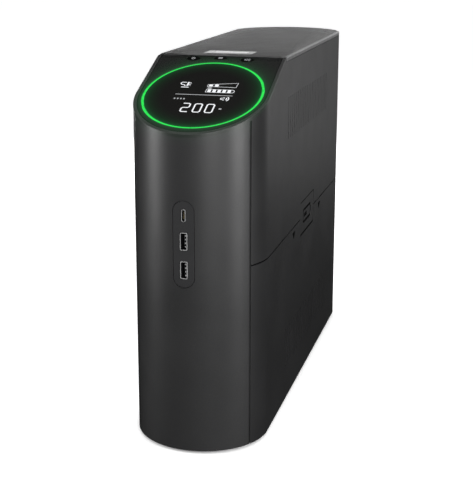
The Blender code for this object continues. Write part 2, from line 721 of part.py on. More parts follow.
def breaker():
    """Circuit breaker, whose button stands out when it has tripped."""
    x, z = BREAKER_CENTRE
    body_size = (0.0150, 0.0300, 0.0320)
    collar_radius, button_radius = 0.0085, 0.0040
    body = solid("breaker_body", "inner_black", [cube(body_size)], (x, PANEL_Y - 0.0182, z))
    neck = solid("breaker_neck", None, [
        rod(BREAKER_NECK, 0.0080, (x, PANEL_Y - 0.0010, z), "Y", 20)])
    collar = solid("breaker_collar", None, [
        rod(collar_radius, 0.0020, (x, PANEL_Y + 0.0014, z), "Y", 6)])
    bore = solid("breaker_bore", None, [
        rod(button_radius + FIT_GAP, 0.0180, (x, PANEL_Y - 0.0040, z), "Y", 20)])
    cut(join(body, neck, collar), bore)
    solid("breaker_button", "button_black", [rod(button_radius, 0.0150, axis="Y", steps=20)],
          (x, PANEL_Y - 0.0040, z), smooth=True)


def jacks():
    """Network pass-through pair, moulded as one block, and the data port beside it."""
    plug, latch = (0.0120, 0.0150, 0.0086), (0.0040, 0.0140, 0.0040)
    for name, centres in (("network_jacks", JACK_CENTRES), ("data_port", (DATA_PORT_CENTRE,))):
        width, middle, height = jack_block(centres)
        block = solid(name, "tongue_black", [cube((width, *JACK_SIZE[1:]))],
                      (middle, PANEL_Y - 0.0080, height))
        hollows = [cube(plug, (x, PANEL_Y - 0.0050, z + 0.0006)) for x, z in centres]
        latches = [cube(latch, (x, PANEL_Y - 0.0050, z - 0.0045)) for x, z in centres]
        cut(block, solid(name + "_hollows", None, hollows), solid(name + "_latches", None, latches))


# ---------------------------------------------------------------- works inside

def battery_bay():
    """Shelf and two bulkheads that frame the bay, and the battery pack in it."""
    floor = 0.0054
    shelf_top = SHELF_HEIGHT + SHELF_THICKNESS
    bay = span_box("battery_bay", "steel", (-0.0518, SHELF_FRONT, SHELF_HEIGHT),
                   (0.0518, SHELF_REAR, shelf_top))
    for name, y in (("front_bulkhead", BAY_FRONT), ("rear_bulkhead", BAY_REAR)):
        join(bay, span_box(name, None, (-0.0470, y - 0.0022, floor),
                           (0.0440, y, SHELF_HEIGHT + 0.0010)))

    low = 0.0060
    for number, name in enumerate(("lower_battery", "upper_battery")):
        centre = low + BATTERY_SIZE[2] / 2 + number * (BATTERY_SIZE[2] + 0.0005)
        bevel(solid(name, "battery_grey", [cube(BATTERY_SIZE)], (0, BATTERY_Y, centre)), 0.0015)
    span_box("battery_connector", "tongue_black", (0.0280, BAY_REAR + 0.0004, 0.1060),
             (0.0456, BAY_REAR + 0.0200, 0.1260))
    battery_leads()


def battery_leads():
    """Two leads to the connector and the link between the batteries, on spade terminals."""
    tab_y = BATTERY_Y - BATTERY_SIZE[1] / 2 + 0.0100
    tab_x = BATTERY_SIZE[0] / 2 + 0.0026
    low_tab, low_link, high_link, high_tab = 0.0200, 0.0580, 0.0860, 0.1240
    run_x, end_x, end_y = 0.0490, 0.0460, BAY_REAR + 0.0110
    for name, height, end_height in (("red_lead", high_tab, 0.1200),
                                     ("black_lead", low_tab, 0.1120)):
        make_lead(name, [
            (run_x, tab_y, height), (run_x, tab_y + 0.012, height),
            (run_x, tab_y + 0.045, height), (run_x, BAY_REAR - 0.060, end_height),
            (run_x, BAY_REAR - 0.020, end_height), (run_x + 0.0005, BAY_REAR, end_height),
            (run_x, end_y - 0.004, end_height), (run_x - 0.0008, end_y, end_height),
            (end_x, end_y, end_height)], [(tab_x, tab_y, height)])
    make_lead("link_lead", [
        (run_x, tab_y, low_link), (run_x, tab_y + 0.004, low_link + 0.002),
        (run_x, tab_y + 0.006, low_link + 0.008), (run_x, tab_y + 0.006, high_link - 0.008),
        (run_x, tab_y + 0.004, high_link - 0.002), (run_x, tab_y, high_link)],
        [(tab_x, tab_y, low_link), (tab_x, tab_y, high_link)])


def make_lead(name, route, tabs):
    curve = bpy.data.curves.new(name, "CURVE")
    curve.dimensions = "3D"
    curve.bevel_depth = 0.0013
    curve.bevel_resolution = 2
    curve.use_fill_caps = True
    spline = curve.splines.new("POLY")
    spline.points.add(len(route) - 1)
    for point, position in zip(spline.points, route):
        point.co = (*position, 1)
    lead = place(name, mesh_from_curve(name, curve), "lead_red" if name == "red_lead" else "rubber")
    for number, tab in enumerate(tabs):
        join(lead, solid(f"{name}_tab_{number}", None, [cube((0.0045, 0.0034, 0.0064))], tab))


def main_board():
    """Power board on the shelf, with the parts soldered and bolted to it."""
    low_y, high_y = -0.0880, 0.1180
    board = span_box("main_board", "board_green", (-0.0480, low_y, BOARD_HEIGHT),
                     (0.0480, high_y, BOARD_TOP))
    stand = SHELF_HEIGHT + SHELF_THICKNESS - 0.0005
    length = BOARD_HEIGHT - 0.0003 - stand
    posts = [rod(0.0030, length, (x, y, stand + length / 2), steps=10)
             for x in (-0.043, 0.043) for y in (low_y + 0.006, 0.015, high_y - 0.006)]
    join(bpy.data.objects["battery_bay"], solid("board_studs", None, posts))

    seat = BOARD_TOP + 0.0003
    transformer(seat)
    heat_sinks(seat)
    choke(seat)
    root = 0.0005
    capacitor_radius, capacitor_height = 0.0110, 0.0350
    relay = (0.0155, 0.0190, 0.0200)
    buzzer_radius, buzzer_height = 0.0060, 0.0080
    soldered = [rod(capacitor_radius, capacitor_height,
                    (x, y, BOARD_TOP + capacitor_height / 2 - root), steps=18)
                for x in (-0.0120, 0.0120) for y in (0.0080, 0.0320)]
    soldered += [cube(relay, (x, 0.1020, BOARD_TOP + relay[2] / 2 - root))
                 for x in (-0.0340, -0.0120, 0.0120, 0.0340)]
    soldered.append(rod(buzzer_radius, buzzer_height,
                        (0.0400, -0.0760, BOARD_TOP + buzzer_height / 2 - root), steps=16))
    join(board, solid("soldered_parts", None, soldered))


def transformer(seat):
    """Laminated core with two legs' worth of winding round its middle."""
    core_size, window, leg = (0.0620, 0.0300, 0.0500), (0.0160, 0.0400, 0.0300), 0.0160
    middle = (0, -0.0500, seat + core_size[2] / 2)
    core = solid("transformer_core", "steel", [cube(core_size)], middle)
    windows = [cube(window, (sign * (leg + window[0]) / 2, 0, 0)) for sign in (-1, 1)]
    cut(core, solid("core_windows", None, windows, middle))
    coils = solid("transformer_coils", "copper", [cube((0.0300, 0.0480, 0.0270))], middle)
    bevel(coils, 0.0030, 2)
    sleeve = (leg + 2 * 0.0003, core_size[1] + 2 * 0.0003, window[1])
    cut(coils, solid("coil_window", None, [cube(sleeve)], middle))


def heat_sinks(seat):
    """Two upright extrusions, each with a row of fins and its transistors."""
    length, height, base_thickness = 0.0800, 0.0440, 0.0030
    fin_count, fin_length, fin_width, pitch = 8, 0.0130, 0.0016, 0.0056
    middle_y = 0.0220
    outline = [(0, 0), (base_thickness, 0)]
    for number in range(fin_count):
        fin_low = 0.0010 + pitch * number
        outline += [(base_thickness, fin_low), (base_thickness + fin_length, fin_low),
                    (base_thickness + fin_length, fin_low + fin_width),
                    (base_thickness, fin_low + fin_width)]
    outline += [(base_thickness, height), (0, height)]
    for side, sign in (("right", 1), ("left", -1)):
        turned = [(sign * (0.0300 + x), z) for x, z in outline]
        sink = prism(side + "_heat_sink", "aluminium", [turned], length,
                     (0, middle_y, seat), XZ_PLANE)
        transistors = [cube((0.0044, 0.0100, 0.0150),
                            (sign * 0.0282, middle_y - 0.0270 + 0.0180 * number, seat + 0.0140))
                       for number in range(4)]
        join(sink, solid(side + "_transistors", None, transistors))


def choke(seat):
    """Ring-shaped output choke lying on the board."""
    wire_radius = 0.0050
    bpy.ops.mesh.primitive_torus_add(major_radius=0.0120, minor_radius=wire_radius,
                                     major_segments=24, minor_segments=10)
    ring = bpy.context.object
    mesh = ring.data
    mesh.shade_smooth()
    bpy.data.objects.remove(ring, do_unlink=True)
    place("choke_coil", mesh, "copper", (0, 0.0640, seat + wire_radius + 0.0001))


def fan():
    """Square fan against the left side's upper vents. Its rotor turns about X."""
    x, y, z = FAN_CENTRE
    bore = FAN_SIZE / 2 - 0.0020
    prism("fan_frame", "tongue_black",
          [rectangle(FAN_SIZE, FAN_SIZE), circle(bore, 32)],
          FAN_THICKNESS, FAN_CENTRE, YZ_PLANE)
    spoke, reach, motor_thickness = 0.0020, 2 * bore + 0.0020, 0.0030
    spokes = solid("fan_spokes", None, [
        cube((spoke, reach, 0.0030)), cube((spoke, 0.0030, reach))],
        (x + FAN_THICKNESS / 2 - spoke / 2, y, z))
    motor = solid("fan_motor", None, [rod(0.0120, motor_thickness, axis="X", steps=20)],
                  (x + FAN_THICKNESS / 2 - motor_thickness / 2, y, z))
    join(bpy.data.objects["fan_frame"], motor, spokes)

    rotor_x = x - 0.0016
    rotor = solid("fan_rotor", "inner_black", [rod(0.0115, 0.0100, axis="X", steps=20)],
                  (rotor_x, y, z), smooth=True)
    blade_length, blade_count = 0.0150, 7
    for number in range(blade_count):
        turn = Matrix.Rotation(2 * math.pi * number / blade_count, 4, "X")
        out = turn @ Vector((0, 0, 0.0105 + blade_length / 2))
        blade = solid("fan_blade", None, [cube((0.0012, 0.0110, blade_length))],
                      Vector((rotor_x, y, z)) + out,
                      (turn @ Matrix.Rotation(math.radians(38), 4, "Z")).to_euler())
        join(rotor, blade)


# ---------------------------------------------------------------- build

clear_scene()
PARTS = make_collection("uninterruptible_power_supply")
CUTTERS = make_collection("cutters")

shell_pieces()
lid()
base()
display_face()
display_works()
front_ports()
rear_frame()
outlet_panel()
outlets()
power_inlet()
breaker()
jacks()
battery_bay()
main_board()
fan()
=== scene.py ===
"""Looks of the tower uninterruptible power supply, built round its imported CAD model.

Units are metres. Places come from the CAD nodes' boxes. The shape values below are the design's
own, such as the slope of the display face, which a box alone doesn't give.
"""

from math import asin, atan, cos, pi, radians, sin, sqrt

import bmesh
import bpy
from mathutils import Matrix, Vector


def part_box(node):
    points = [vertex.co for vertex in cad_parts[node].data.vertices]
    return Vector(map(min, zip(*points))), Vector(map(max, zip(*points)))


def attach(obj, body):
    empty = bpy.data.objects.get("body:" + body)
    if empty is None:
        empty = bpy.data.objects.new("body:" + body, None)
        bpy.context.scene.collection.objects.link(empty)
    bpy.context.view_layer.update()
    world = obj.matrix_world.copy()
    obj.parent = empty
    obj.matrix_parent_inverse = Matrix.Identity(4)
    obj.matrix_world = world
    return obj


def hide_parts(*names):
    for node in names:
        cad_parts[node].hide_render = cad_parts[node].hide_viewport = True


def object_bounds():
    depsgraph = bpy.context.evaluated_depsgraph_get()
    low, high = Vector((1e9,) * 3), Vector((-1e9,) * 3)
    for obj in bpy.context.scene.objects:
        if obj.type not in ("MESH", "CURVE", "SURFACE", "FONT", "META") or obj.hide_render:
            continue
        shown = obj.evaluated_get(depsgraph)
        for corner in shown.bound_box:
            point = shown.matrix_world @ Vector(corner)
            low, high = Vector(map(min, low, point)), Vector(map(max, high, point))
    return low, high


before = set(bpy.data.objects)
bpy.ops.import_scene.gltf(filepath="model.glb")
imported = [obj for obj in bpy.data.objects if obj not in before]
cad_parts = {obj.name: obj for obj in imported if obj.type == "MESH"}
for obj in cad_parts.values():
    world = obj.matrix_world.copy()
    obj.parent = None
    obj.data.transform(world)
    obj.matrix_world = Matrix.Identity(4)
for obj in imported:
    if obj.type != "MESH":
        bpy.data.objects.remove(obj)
CAD_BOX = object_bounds()

# Overall box, and the shape of the plan and of the display face
HALF = CAD_BOX[1].x
FRONT = CAD_BOX[0].y
REAR = CAD_BOX[1].y
HEIGHT = CAD_BOX[1].z
FRONT_BULGE = 0.0523
REAR_BULGE = 0.0445
FRONT_STEPS = 96
REAR_STEPS = 64
SLOPE = 0.442
BEND = 0.006
WALL = 0.0025
SHUT_LINE = 0.0005
SEAM_GAP = 0.0012
LIP_SINK = 0.0005
GAP = 0.0004

LEAN = atan(SLOPE)
LID_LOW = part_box("top_panel")[0]
FACE_TOP_Y = LID_LOW.y - GAP
FRONT_SHOULDER = FRONT + FRONT_BULGE
REAR_SHOULDER = REAR - REAR_BULGE
REAR_RADIUS = (HALF ** 2 + REAR_BULGE ** 2) / (2 * REAR_BULGE)
SHELL_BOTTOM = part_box("battery_door")[0].z
SEAM_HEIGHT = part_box("battery_door")[1].z + SHUT_LINE / 2
SHELL_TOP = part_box("right_upper_cover")[1].z
FRONT_SEAM_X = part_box("front_panel")[1].x + SHUT_LINE / 2

RIM_WIDTH = 0.0028
RIM_THICKNESS = 0.002
FACE_SINK = 0.0002
FACE_THICKNESS = 0.0028
RING_RADIUS = 0.048
RING_WIDTH = 0.0017
RING_SINK = 0.0006

STRIP_TRIM = 0.0014
SOCKET_TRIM = 0.0006
USB_A_SHARE = 0.86
USB_C_SHARE = 0.8

VENT_COUNT = 23
VENT_SPAN = (-0.081, 0.088)
VENT_SIZE = (0.0013, 0.0355)
VENT_HEIGHTS = {"upper": 0.255, "lower": 0.0505}

XZ_PLANE = Matrix.Rotation(radians(90), 4, "X")
YZ_PLANE = Matrix.Rotation(radians(90), 4, "Z") @ XZ_PLANE
SIDES = (("right", 1), ("left", -1))

move = Matrix.Translation


# ---- frame helpers

def middle(node):
    low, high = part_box(node)
    return (low + high) / 2


def extent(node):
    low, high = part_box(node)
    return high - low


def skin_height(y):
    """Height of the face and the top over a point of the plan, with the bend between rounded."""
    past = y - FACE_TOP_Y
    if past <= -BEND:
        return HEIGHT + SLOPE * past
    if past >= BEND:
        return HEIGHT
    return HEIGHT - SLOPE * (BEND - past) ** 2 / (4 * BEND)


def face_place(point):
    """Across, up the slope from the ring's centre, and depth below the flat of the face."""
    depth = (HEIGHT + SLOPE * (point.y - FACE_TOP_Y) - point.z) * cos(LEAN)
    up = (point.y - depth * sin(LEAN) - RING_Y) / cos(LEAN)
    return point.x, up, depth


RING_Y = 0
RING_Y = face_place(middle("ring_light"))[1] * cos(LEAN)
FACE_ORIGIN = Vector((0, RING_Y, HEIGHT + SLOPE * (RING_Y - FACE_TOP_Y)))
FACE = move(FACE_ORIGIN) @ Matrix.Rotation(LEAN, 4, "X")


# ---- mesh helpers

def new_object(name, mesh, matrix=None):
    item = bpy.data.objects.new(name, mesh)
    bpy.context.scene.collection.objects.link(item)
    if matrix is not None:
        item.matrix_world = matrix
    return item


def bmesh_object(name, build, matrix=None):
    mesh = bpy.data.meshes.new(name)
    build.to_mesh(mesh)
    build.free()
    return new_object(name, mesh, matrix)


def solid(name, shapes, matrix=None):
    """One object from a list of primitives, each a function that adds itself to a bmesh."""
    build = bmesh.new()
    for shape in shapes:
        shape(build)
    return bmesh_object(name, build, matrix)


def cube(size, centre=(0, 0, 0)):
    matrix = move(centre) @ Matrix.Diagonal((*size, 1.0))
    return lambda build: bmesh.ops.create_cube(build, size=1.0, matrix=matrix)


def rod(radius, length, centre=(0, 0, 0), axis="Z", steps=48):
    turn = {"X": Matrix.Rotation(radians(90), 4, "Y"),
            "Y": Matrix.Rotation(radians(-90), 4, "X"),
            "Z": Matrix.Identity(4)}[axis]
    matrix = move(centre) @ turn
    return lambda build: bmesh.ops.create_cone(
        build, cap_ends=True, segments=steps, radius1=radius, radius2=radius, depth=length,
        matrix=matrix)


def mesh_from_curve(name, curve):
    """The welded mesh of a curve whose caps are filled."""
    drawn = new_object(name + "_curve", curve)
    depsgraph = bpy.context.evaluated_depsgraph_get()
    mesh = bpy.data.meshes.new_from_object(drawn.evaluated_get(depsgraph))
    mesh.name = name
    bpy.data.objects.remove(drawn)
    build = bmesh.new()
    build.from_mesh(mesh)
    bmesh.ops.remove_doubles(build, verts=build.verts, dist=0.000005)
    bmesh.ops.recalc_face_normals(build, faces=build.faces)
    build.to_mesh(mesh)
    build.free()
    return mesh


def prism(name, outlines, thickness, matrix=None):
    """A flat outline, with any holes as further outlines, made solid about its own plane."""
    curve = bpy.data.curves.new(name, "CURVE")
    curve.dimensions = "2D"
    curve.fill_mode = "BOTH"
    curve.extrude = thickness / 2
    for outline in outlines:
        spline = curve.splines.new("POLY")
        spline.points.add(len(outline) - 1)
        for point, (across, along) in zip(spline.points, outline):
            point.co = (across, along, 0, 1)
        spline.use_cyclic_u = True
    return new_object(name, mesh_from_curve(name, curve), matrix)


def level_prism(name, outlines, low, high):
    """A plan outline between two heights."""
    return prism(name, outlines, high - low, move((0, 0, (low + high) / 2)))


def side_prism(name, outline, left, right):
    """An outline of (y, z) points between two values of x."""
    return prism(name, [outline], right - left, move(((left + right) / 2, 0, 0)) @ YZ_PLANE)


def rear_prism(name, outlines, front, back, centre=(0, 0)):
    """An outline of (x, z) points between two values of y."""
    place = (centre[0], (front + back) / 2, centre[1])
    return prism(name, outlines, back - front, move(place) @ XZ_PLANE)


def face_prism(name, outlines, top, bottom, centre=(0, 0)):
    """An outline drawn on the display face, between two depths below it."""
    place = move((centre[0], centre[1], -(top + bottom) / 2))
    return prism(name, outlines, bottom - top, FACE @ place)


def span_box(name, low, high):
    low, high = Vector(low), Vector(high)
    size = [abs(reach) for reach in high - low]
    return solid(name, [cube(size)], move((low + high) / 2))


def combine(target, operation, tools):
    for tool in tools:
        step = target.modifiers.new(tool.name, "BOOLEAN")
        step.operation = operation
        step.solver = "EXACT"
        step.object = tool
    bake(target)
    for tool in tools:
        bpy.data.objects.remove(tool)
    return target


def cut(target, *tools):
    return combine(target, "DIFFERENCE", tools)


def keep(target, *tools):
    return combine(target, "INTERSECT", tools)


def bake(item):
    """Replaces the object's mesh by what its modifiers make of it."""
    depsgraph = bpy.context.evaluated_depsgraph_get()
    mesh = bpy.data.meshes.new_from_object(item.evaluated_get(depsgraph))
    item.modifiers.clear()
    item.data = mesh
    return item


def soften(item, width, segments=2, angle=50):
    """Rounds every edge sharper than the angle."""
    step = item.modifiers.new("edges", "BEVEL")
    step.width = width
    step.segments = segments
    step.limit_method = "ANGLE"
    step.angle_limit = radians(angle)
    return bake(item)


def gather(name, items):
    """Puts several objects' meshes in one object."""
    build = bmesh.new()
    for item in items:
        copy = item.data.copy()
        copy.transform(item.matrix_world)
        build.from_mesh(copy)
        bpy.data.objects.remove(item)
    return bmesh_object(name, build)


def dress(item, material, nodes=(), body="root"):
    """Finishes a piece: smooth shading, its material, its body and the nodes it stands for."""
    mesh = item.data
    mesh.transform(item.matrix_world)
    item.matrix_world = Matrix.Identity(4)
    mesh.materials.clear()
    mesh.materials.append(material)
    mesh.shade_smooth()
    mesh.set_sharp_from_angle(angle=radians(35))
    step = item.modifiers.new("normals", "WEIGHTED_NORMAL")
    step.keep_sharp = True
    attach(item, body)
    if nodes:
        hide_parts(*nodes)


# ---- outlines

def front_arc(inset):
    """The half ellipse from the right shoulder round to the left one, moved inwards."""
    points = []
    for step in range(FRONT_STEPS + 1):
        turn = pi * step / FRONT_STEPS
        across, forward = cos(turn), -sin(turn)
        normal = Vector((across / HALF, forward / FRONT_BULGE)).normalized()
        points.append((HALF * across - inset * normal.x,
                FRONT_SHOULDER + FRONT_BULGE * forward - inset * normal.y))
    return points


def rear_y(x):
    return REAR - REAR_RADIUS + sqrt(REAR_RADIUS ** 2 - x ** 2)


def rear_arc(inset):
    """The rear arc from the left corner round to the right one, moved inwards."""
    radius = REAR_RADIUS - inset
    reach = asin((HALF - inset) / radius)
    turns = [reach * (2 * step / REAR_STEPS - 1) for step in range(REAR_STEPS + 1)]
    return [(radius * sin(turn), REAR - REAR_RADIUS + radius * cos(turn))
            for turn in turns]


def body_outline(inset, rear_cut=None):
    side = HALF - inset
    behind = rear_arc(inset) if rear_cut is None else [(-side, rear_cut), (side, rear_cut)]
    return front_arc(inset) + behind


def circle(radius, steps):
    turns = [2 * pi * step / steps for step in range(steps)]
    return [(radius * cos(turn), radius * sin(turn)) for turn in turns]


def oval(width, length):
    return [(x * width / 2, y * length / 2) for x, y in circle(1, 48)]


def rounded(width, length, radius, centre=(0, 0)):
    """A rectangle with rounded corners."""
    steps, points = 6, []
    for corner, (sx, sy) in enumerate(((1, 1), (-1, 1), (-1, -1), (1, -1))):
        x, y = sx * (width / 2 - radius), sy * (length / 2 - radius)
        for step in range(steps + 1):
            turn = pi / 2 * (corner + step / steps)
            points.append((centre[0] + x + radius * cos(turn),
                    centre[1] + y + radius * sin(turn)))
    return points


def stadium(width, length):
    """A rectangle with half-round ends at top and bottom."""
    radius, steps, points = width / 2, 20, []
    reach = length / 2 - radius
    for end, start in ((reach, 0), (-reach, pi)):
        for step in range(steps + 1):
            turn = start + pi * step / steps
            points.append((radius * cos(turn), end + radius * sin(turn)))
    return points


def skin_profile(top, bottom, near, far):
    """A (y, z) outline of the layer between two depths below the face and the rounded bend."""
    first = FACE_TOP_Y - BEND
    steps = 12
    line = [near] + [first + (far - first) * step / steps for step in range(steps + 1)]
    tilt = cos(LEAN)
    upper = [(y, skin_height(y) - top / tilt) for y in line]
    lower = [(y, skin_height(y) - bottom / tilt) for y in line]
    return upper[::-1] + lower


# ---- materials

# Painted highlight: how much lighter the rim is painted where it faces up. Painted glow of the
# ring's light: its low end, and its bright part beside the ring
TOP_LIGHT_GAIN = 4.0
PAINTED_GLOW_END = 0.1
PAINTED_HALO_REACH, PAINTED_HALO_GAIN = 0.0016, 2.6

# Painted light and shade on the lid: its painted shade at the front, its painted light rising to
# the rear, the painted highlights on its side edges, and its ripples
LID_FRONT_SHADE, LID_REAR_LIGHT_RISE = 0.1, 1.3
LID_EDGE_HIGHLIGHT_WIDTH, LID_EDGE_HIGHLIGHT_GAIN = 0.0008, 1.2
RIPPLE_CENTRE = (0.03, REAR, HEIGHT)
RIPPLE_PITCH, RIPPLE_GAIN = 0.013, 0.22


class Nodes:
    """A material's node tree, with short calls for the nodes it is made of."""

    def __init__(self, name):
        self.material = bpy.data.materials.new(name)
        self.material.use_nodes = True
        self.tree = self.material.node_tree
        self.shader = self.tree.nodes["Principled BSDF"]
        self.place = self.tree.nodes.new("ShaderNodeTexCoord").outputs["Object"]

    def add(self, kind, **inputs):
        node = self.tree.nodes.new("ShaderNode" + kind)
        for name, value in inputs.items():
            self.feed(node.inputs[name.replace("_", " ")], value)
        return node

    def feed(self, socket, value):
        if isinstance(value, bpy.types.NodeSocket):
            self.tree.links.new(value, socket)
        else:
            socket.default_value = value

    def noise(self, size, detail=3.0, stretch=None):
        """Noise whose features are about the given size in metres."""
        place = self.place
        if stretch:
            place = self.add("Mapping", Vector=place, Scale=stretch).outputs["Vector"]
        return self.add("TexNoise", Vector=place, Scale=1 / size, Detail=detail).outputs["Fac"]

    def ramp(self, value, stops):
        """A colour ramp between two (position, colour) stops."""
        node = self.add("ValToRGB", Fac=value)
        for point, (position, colour) in zip(node.color_ramp.elements, stops):
            point.position = position
            point.color = (*colour, 1.0)
        return node.outputs["Color"]

    def spread(self, value, low, high):
        """Maps a noise value's usual span to a range."""
        return self.add("MapRange", Value=value, From_Min=0.3, From_Max=0.7, To_Min=low,
                To_Max=high).outputs["Result"]

    def math(self, operation, *values):
        node = self.tree.nodes.new("ShaderNodeMath")
        node.operation = operation
        for socket, value in zip(node.inputs, values):
            self.feed(socket, value)
        return node.outputs[0]

    def bump(self, height, depth):
        return self.add("Bump", Height=height, Distance=depth, Strength=1.0).outputs["Normal"]

    def distance(self, point):
        """Distance in metres from a fixed point."""
        node = self.add("VectorMath")
        node.operation = "DISTANCE"
        self.feed(node.inputs[0], self.place)
        self.feed(node.inputs[1], point)
        return node.outputs["Value"]

    def scaled(self, colour, factor):
        node = self.add("VectorMath")
        node.operation = "SCALE"
        self.feed(node.inputs[0], colour)
        self.feed(node.inputs["Scale"], factor)
        return node.outputs["Vector"]

    def set(self, **inputs):
        for name, value in inputs.items():
            self.feed(self.shader.inputs[name.replace("_", " ")], value)


def shade(colour, factor):
    return tuple(part * factor for part in colour)


def painted_top_light(nodes, base):
    """The base colour, lightened where the surface faces up: a painted highlight."""
    split = nodes.add("SeparateXYZ", Vector=nodes.add("NewGeometry").outputs["Normal"])
    return nodes.scaled(base, nodes.spread(split.outputs["Z"], 1.0, TOP_LIGHT_GAIN))


def lid_painted_light(nodes, base):
    """The lid's colour: painted shade at the front that lightens to the rear as painted light,
    painted highlights on its side edges, and faint ripples.
    """
    split = nodes.add("SeparateXYZ", Vector=nodes.place)
    along = nodes.math("DIVIDE", nodes.math("SUBTRACT", split.outputs["Y"], LID_LOW.y),
            REAR - LID_LOW.y)
    # Painted highlight along both side edges
    edge = nodes.math("GREATER_THAN", nodes.math("ABSOLUTE", split.outputs["X"]), HALF - LID_EDGE_HIGHLIGHT_WIDTH)
    away = nodes.distance(RIPPLE_CENTRE)
    ripple = nodes.math("SINE", nodes.math("MULTIPLY", away, 2 * pi / RIPPLE_PITCH))
    factor = LID_FRONT_SHADE
    for part, gain in ((along, LID_REAR_LIGHT_RISE), (ripple, RIPPLE_GAIN), (edge, LID_EDGE_HIGHLIGHT_GAIN)):
        factor = nodes.math("ADD", factor, nodes.math("MULTIPLY", part, gain))
    return nodes.scaled(base, factor)


def moulded(name, colour, roughness, grain=0.0009, depth=0.00003, contrast=0.12, specular=0.5,
        painted_glow=None, painted_light=None):
    """Moulded plastic or painted metal: a fine spark-eroded grain with slight uneven sheen."""
    nodes = Nodes(name)
    fine = nodes.noise(grain, 4.0)
    broad = nodes.noise(0.045, 2.0)
    mixed = nodes.math("ADD", nodes.math("MULTIPLY", fine, 0.75),
            nodes.math("MULTIPLY", broad, 0.25))
    base = nodes.ramp(mixed, ((0.3, shade(colour, 1 - contrast)),
            (0.7, shade(colour, 1 + contrast))))
    # Painted light and shade laid over the base colour, for materials given one
    if painted_light:
        base = painted_light(nodes, base)
    nodes.set(Base_Color=base, Roughness=nodes.spread(broad, roughness - 0.03, roughness + 0.03),
            Normal=nodes.bump(fine, depth), Specular_IOR_Level=specular)
    # A painted glow of the ring's light, for materials given one
    if painted_glow:
        painted_ring_glow(nodes, *painted_glow)
    return nodes.material


def metal(name, colour, roughness, brushed=(1, 1, 1), metallic=1.0):
    """Bare or plated metal with drawn or rolled streaks."""
    nodes = Nodes(name)
    streak = nodes.noise(0.0012, 4.0, brushed)
    base = nodes.ramp(streak, ((0.3, shade(colour, 0.86)), (0.7, colour)))
    nodes.set(Base_Color=base, Roughness=nodes.spread(streak, roughness - 0.06, roughness + 0.06),
            Metallic=metallic, Normal=nodes.bump(streak, 0.00001))
    return nodes.material


def painted_ring_glow(nodes, reach, colour):
    """Painted light: the ring's green light painted as emission on the surfaces round it, a glow
    that fades away from the ring and ends.
    """
    away = nodes.math("ABSOLUTE", nodes.math("SUBTRACT", nodes.distance(FACE_ORIGIN), RING_RADIUS))
    soft = nodes.math("EXPONENT", nodes.math("DIVIDE", away, -reach))
    soft = nodes.math("MAXIMUM", nodes.math("SUBTRACT", soft, PAINTED_GLOW_END), 0.0)
    close = nodes.math("EXPONENT", nodes.math("DIVIDE", away, -PAINTED_HALO_REACH))
    light = nodes.math("ADD", soft, nodes.math("MULTIPLY", close, PAINTED_HALO_GAIN))
    nodes.set(Emission_Color=nodes.scaled(colour, light), Emission_Strength=1.0)


def gloss_material(name, base, reach, painted_glow_colour):
    """Polished black plastic, faintly smeared and dusty, with a painted glow of the ring's light.
    """
    nodes = Nodes(name)
    smear = nodes.noise(0.02, 3.0)
    dust = nodes.noise(0.0007, 5.0)
    nodes.set(Base_Color=nodes.ramp(dust, ((0.35, base), (0.75, shade(base, 1.3)))),
            Roughness=nodes.spread(smear, 0.07, 0.13), Specular_IOR_Level=0.5)
    painted_ring_glow(nodes, reach, painted_glow_colour)
    return nodes.material


def light_material(name, colour, strength):
    """A lit diffuser or display segment, slightly uneven where the light sources sit behind it."""
    nodes = Nodes(name)
    uneven = nodes.noise(0.004, 1.0)
    lit = nodes.ramp(uneven, ((0.3, shade(colour, 0.94)), (0.7, colour)))
    nodes.set(Base_Color=shade(colour, 0.2) + (1.0,), Roughness=nodes.spread(uneven, 0.25, 0.35),
            Emission_Color=lit, Emission_Strength=strength)
    return nodes.material


def board_material(name):
    """Solder-masked circuit board with copper tracks showing through as lighter lines."""
    nodes = Nodes(name)
    bricks = nodes.add("TexBrick", Vector=nodes.place, Scale=160.0,
            Color1=(0.01, 0.085, 0.035, 1), Color2=(0.012, 0.105, 0.045, 1),
            Mortar=(0.03, 0.18, 0.075, 1), Mortar_Size=0.03)
    fine = nodes.noise(0.0015, 3.0)
    nodes.set(Base_Color=bricks.outputs["Color"], Roughness=nodes.spread(fine, 0.28, 0.4),
            Normal=nodes.bump(bricks.outputs["Fac"], 0.00003))
    return nodes.material


def winding_material(name):
    """Enamelled copper wire wound in close turns, with painted shade between the turns."""
    nodes = Nodes(name)
    wave = nodes.add("TexWave", Vector=nodes.place, Scale=260.0, Distortion=0.4)
    wave.bands_direction = "Z"
    # The dark end of the bands is painted shade between the turns
    base = nodes.ramp(wave.outputs["Fac"], ((0.0, (0.16, 0.045, 0.015)), (0.8, (0.62, 0.24, 0.1))))
    fine = nodes.noise(0.003, 2.0)
    nodes.set(Base_Color=base, Roughness=nodes.spread(fine, 0.28, 0.38),
            Normal=nodes.bump(wave.outputs["Fac"], 0.0004), Metallic=0.8)
    return nodes.material


SHELL = moulded("shell_plastic", (0.019, 0.019, 0.0195), 0.42)
# The front cover: a little lighter than the side covers, with a painted glow of the ring's light
FRONT_SHELL = moulded("front_shell_plastic", (0.028, 0.028, 0.0285), 0.42,
        painted_glow=(0.006, (0.0, 0.05, 0.01)))
# The lid, with painted shade at its front, painted light to the rear and painted highlights on its
# side edges
TOP = moulded("top_plastic", (0.06, 0.06, 0.061), 0.45, contrast=0.1, painted_light=lid_painted_light)
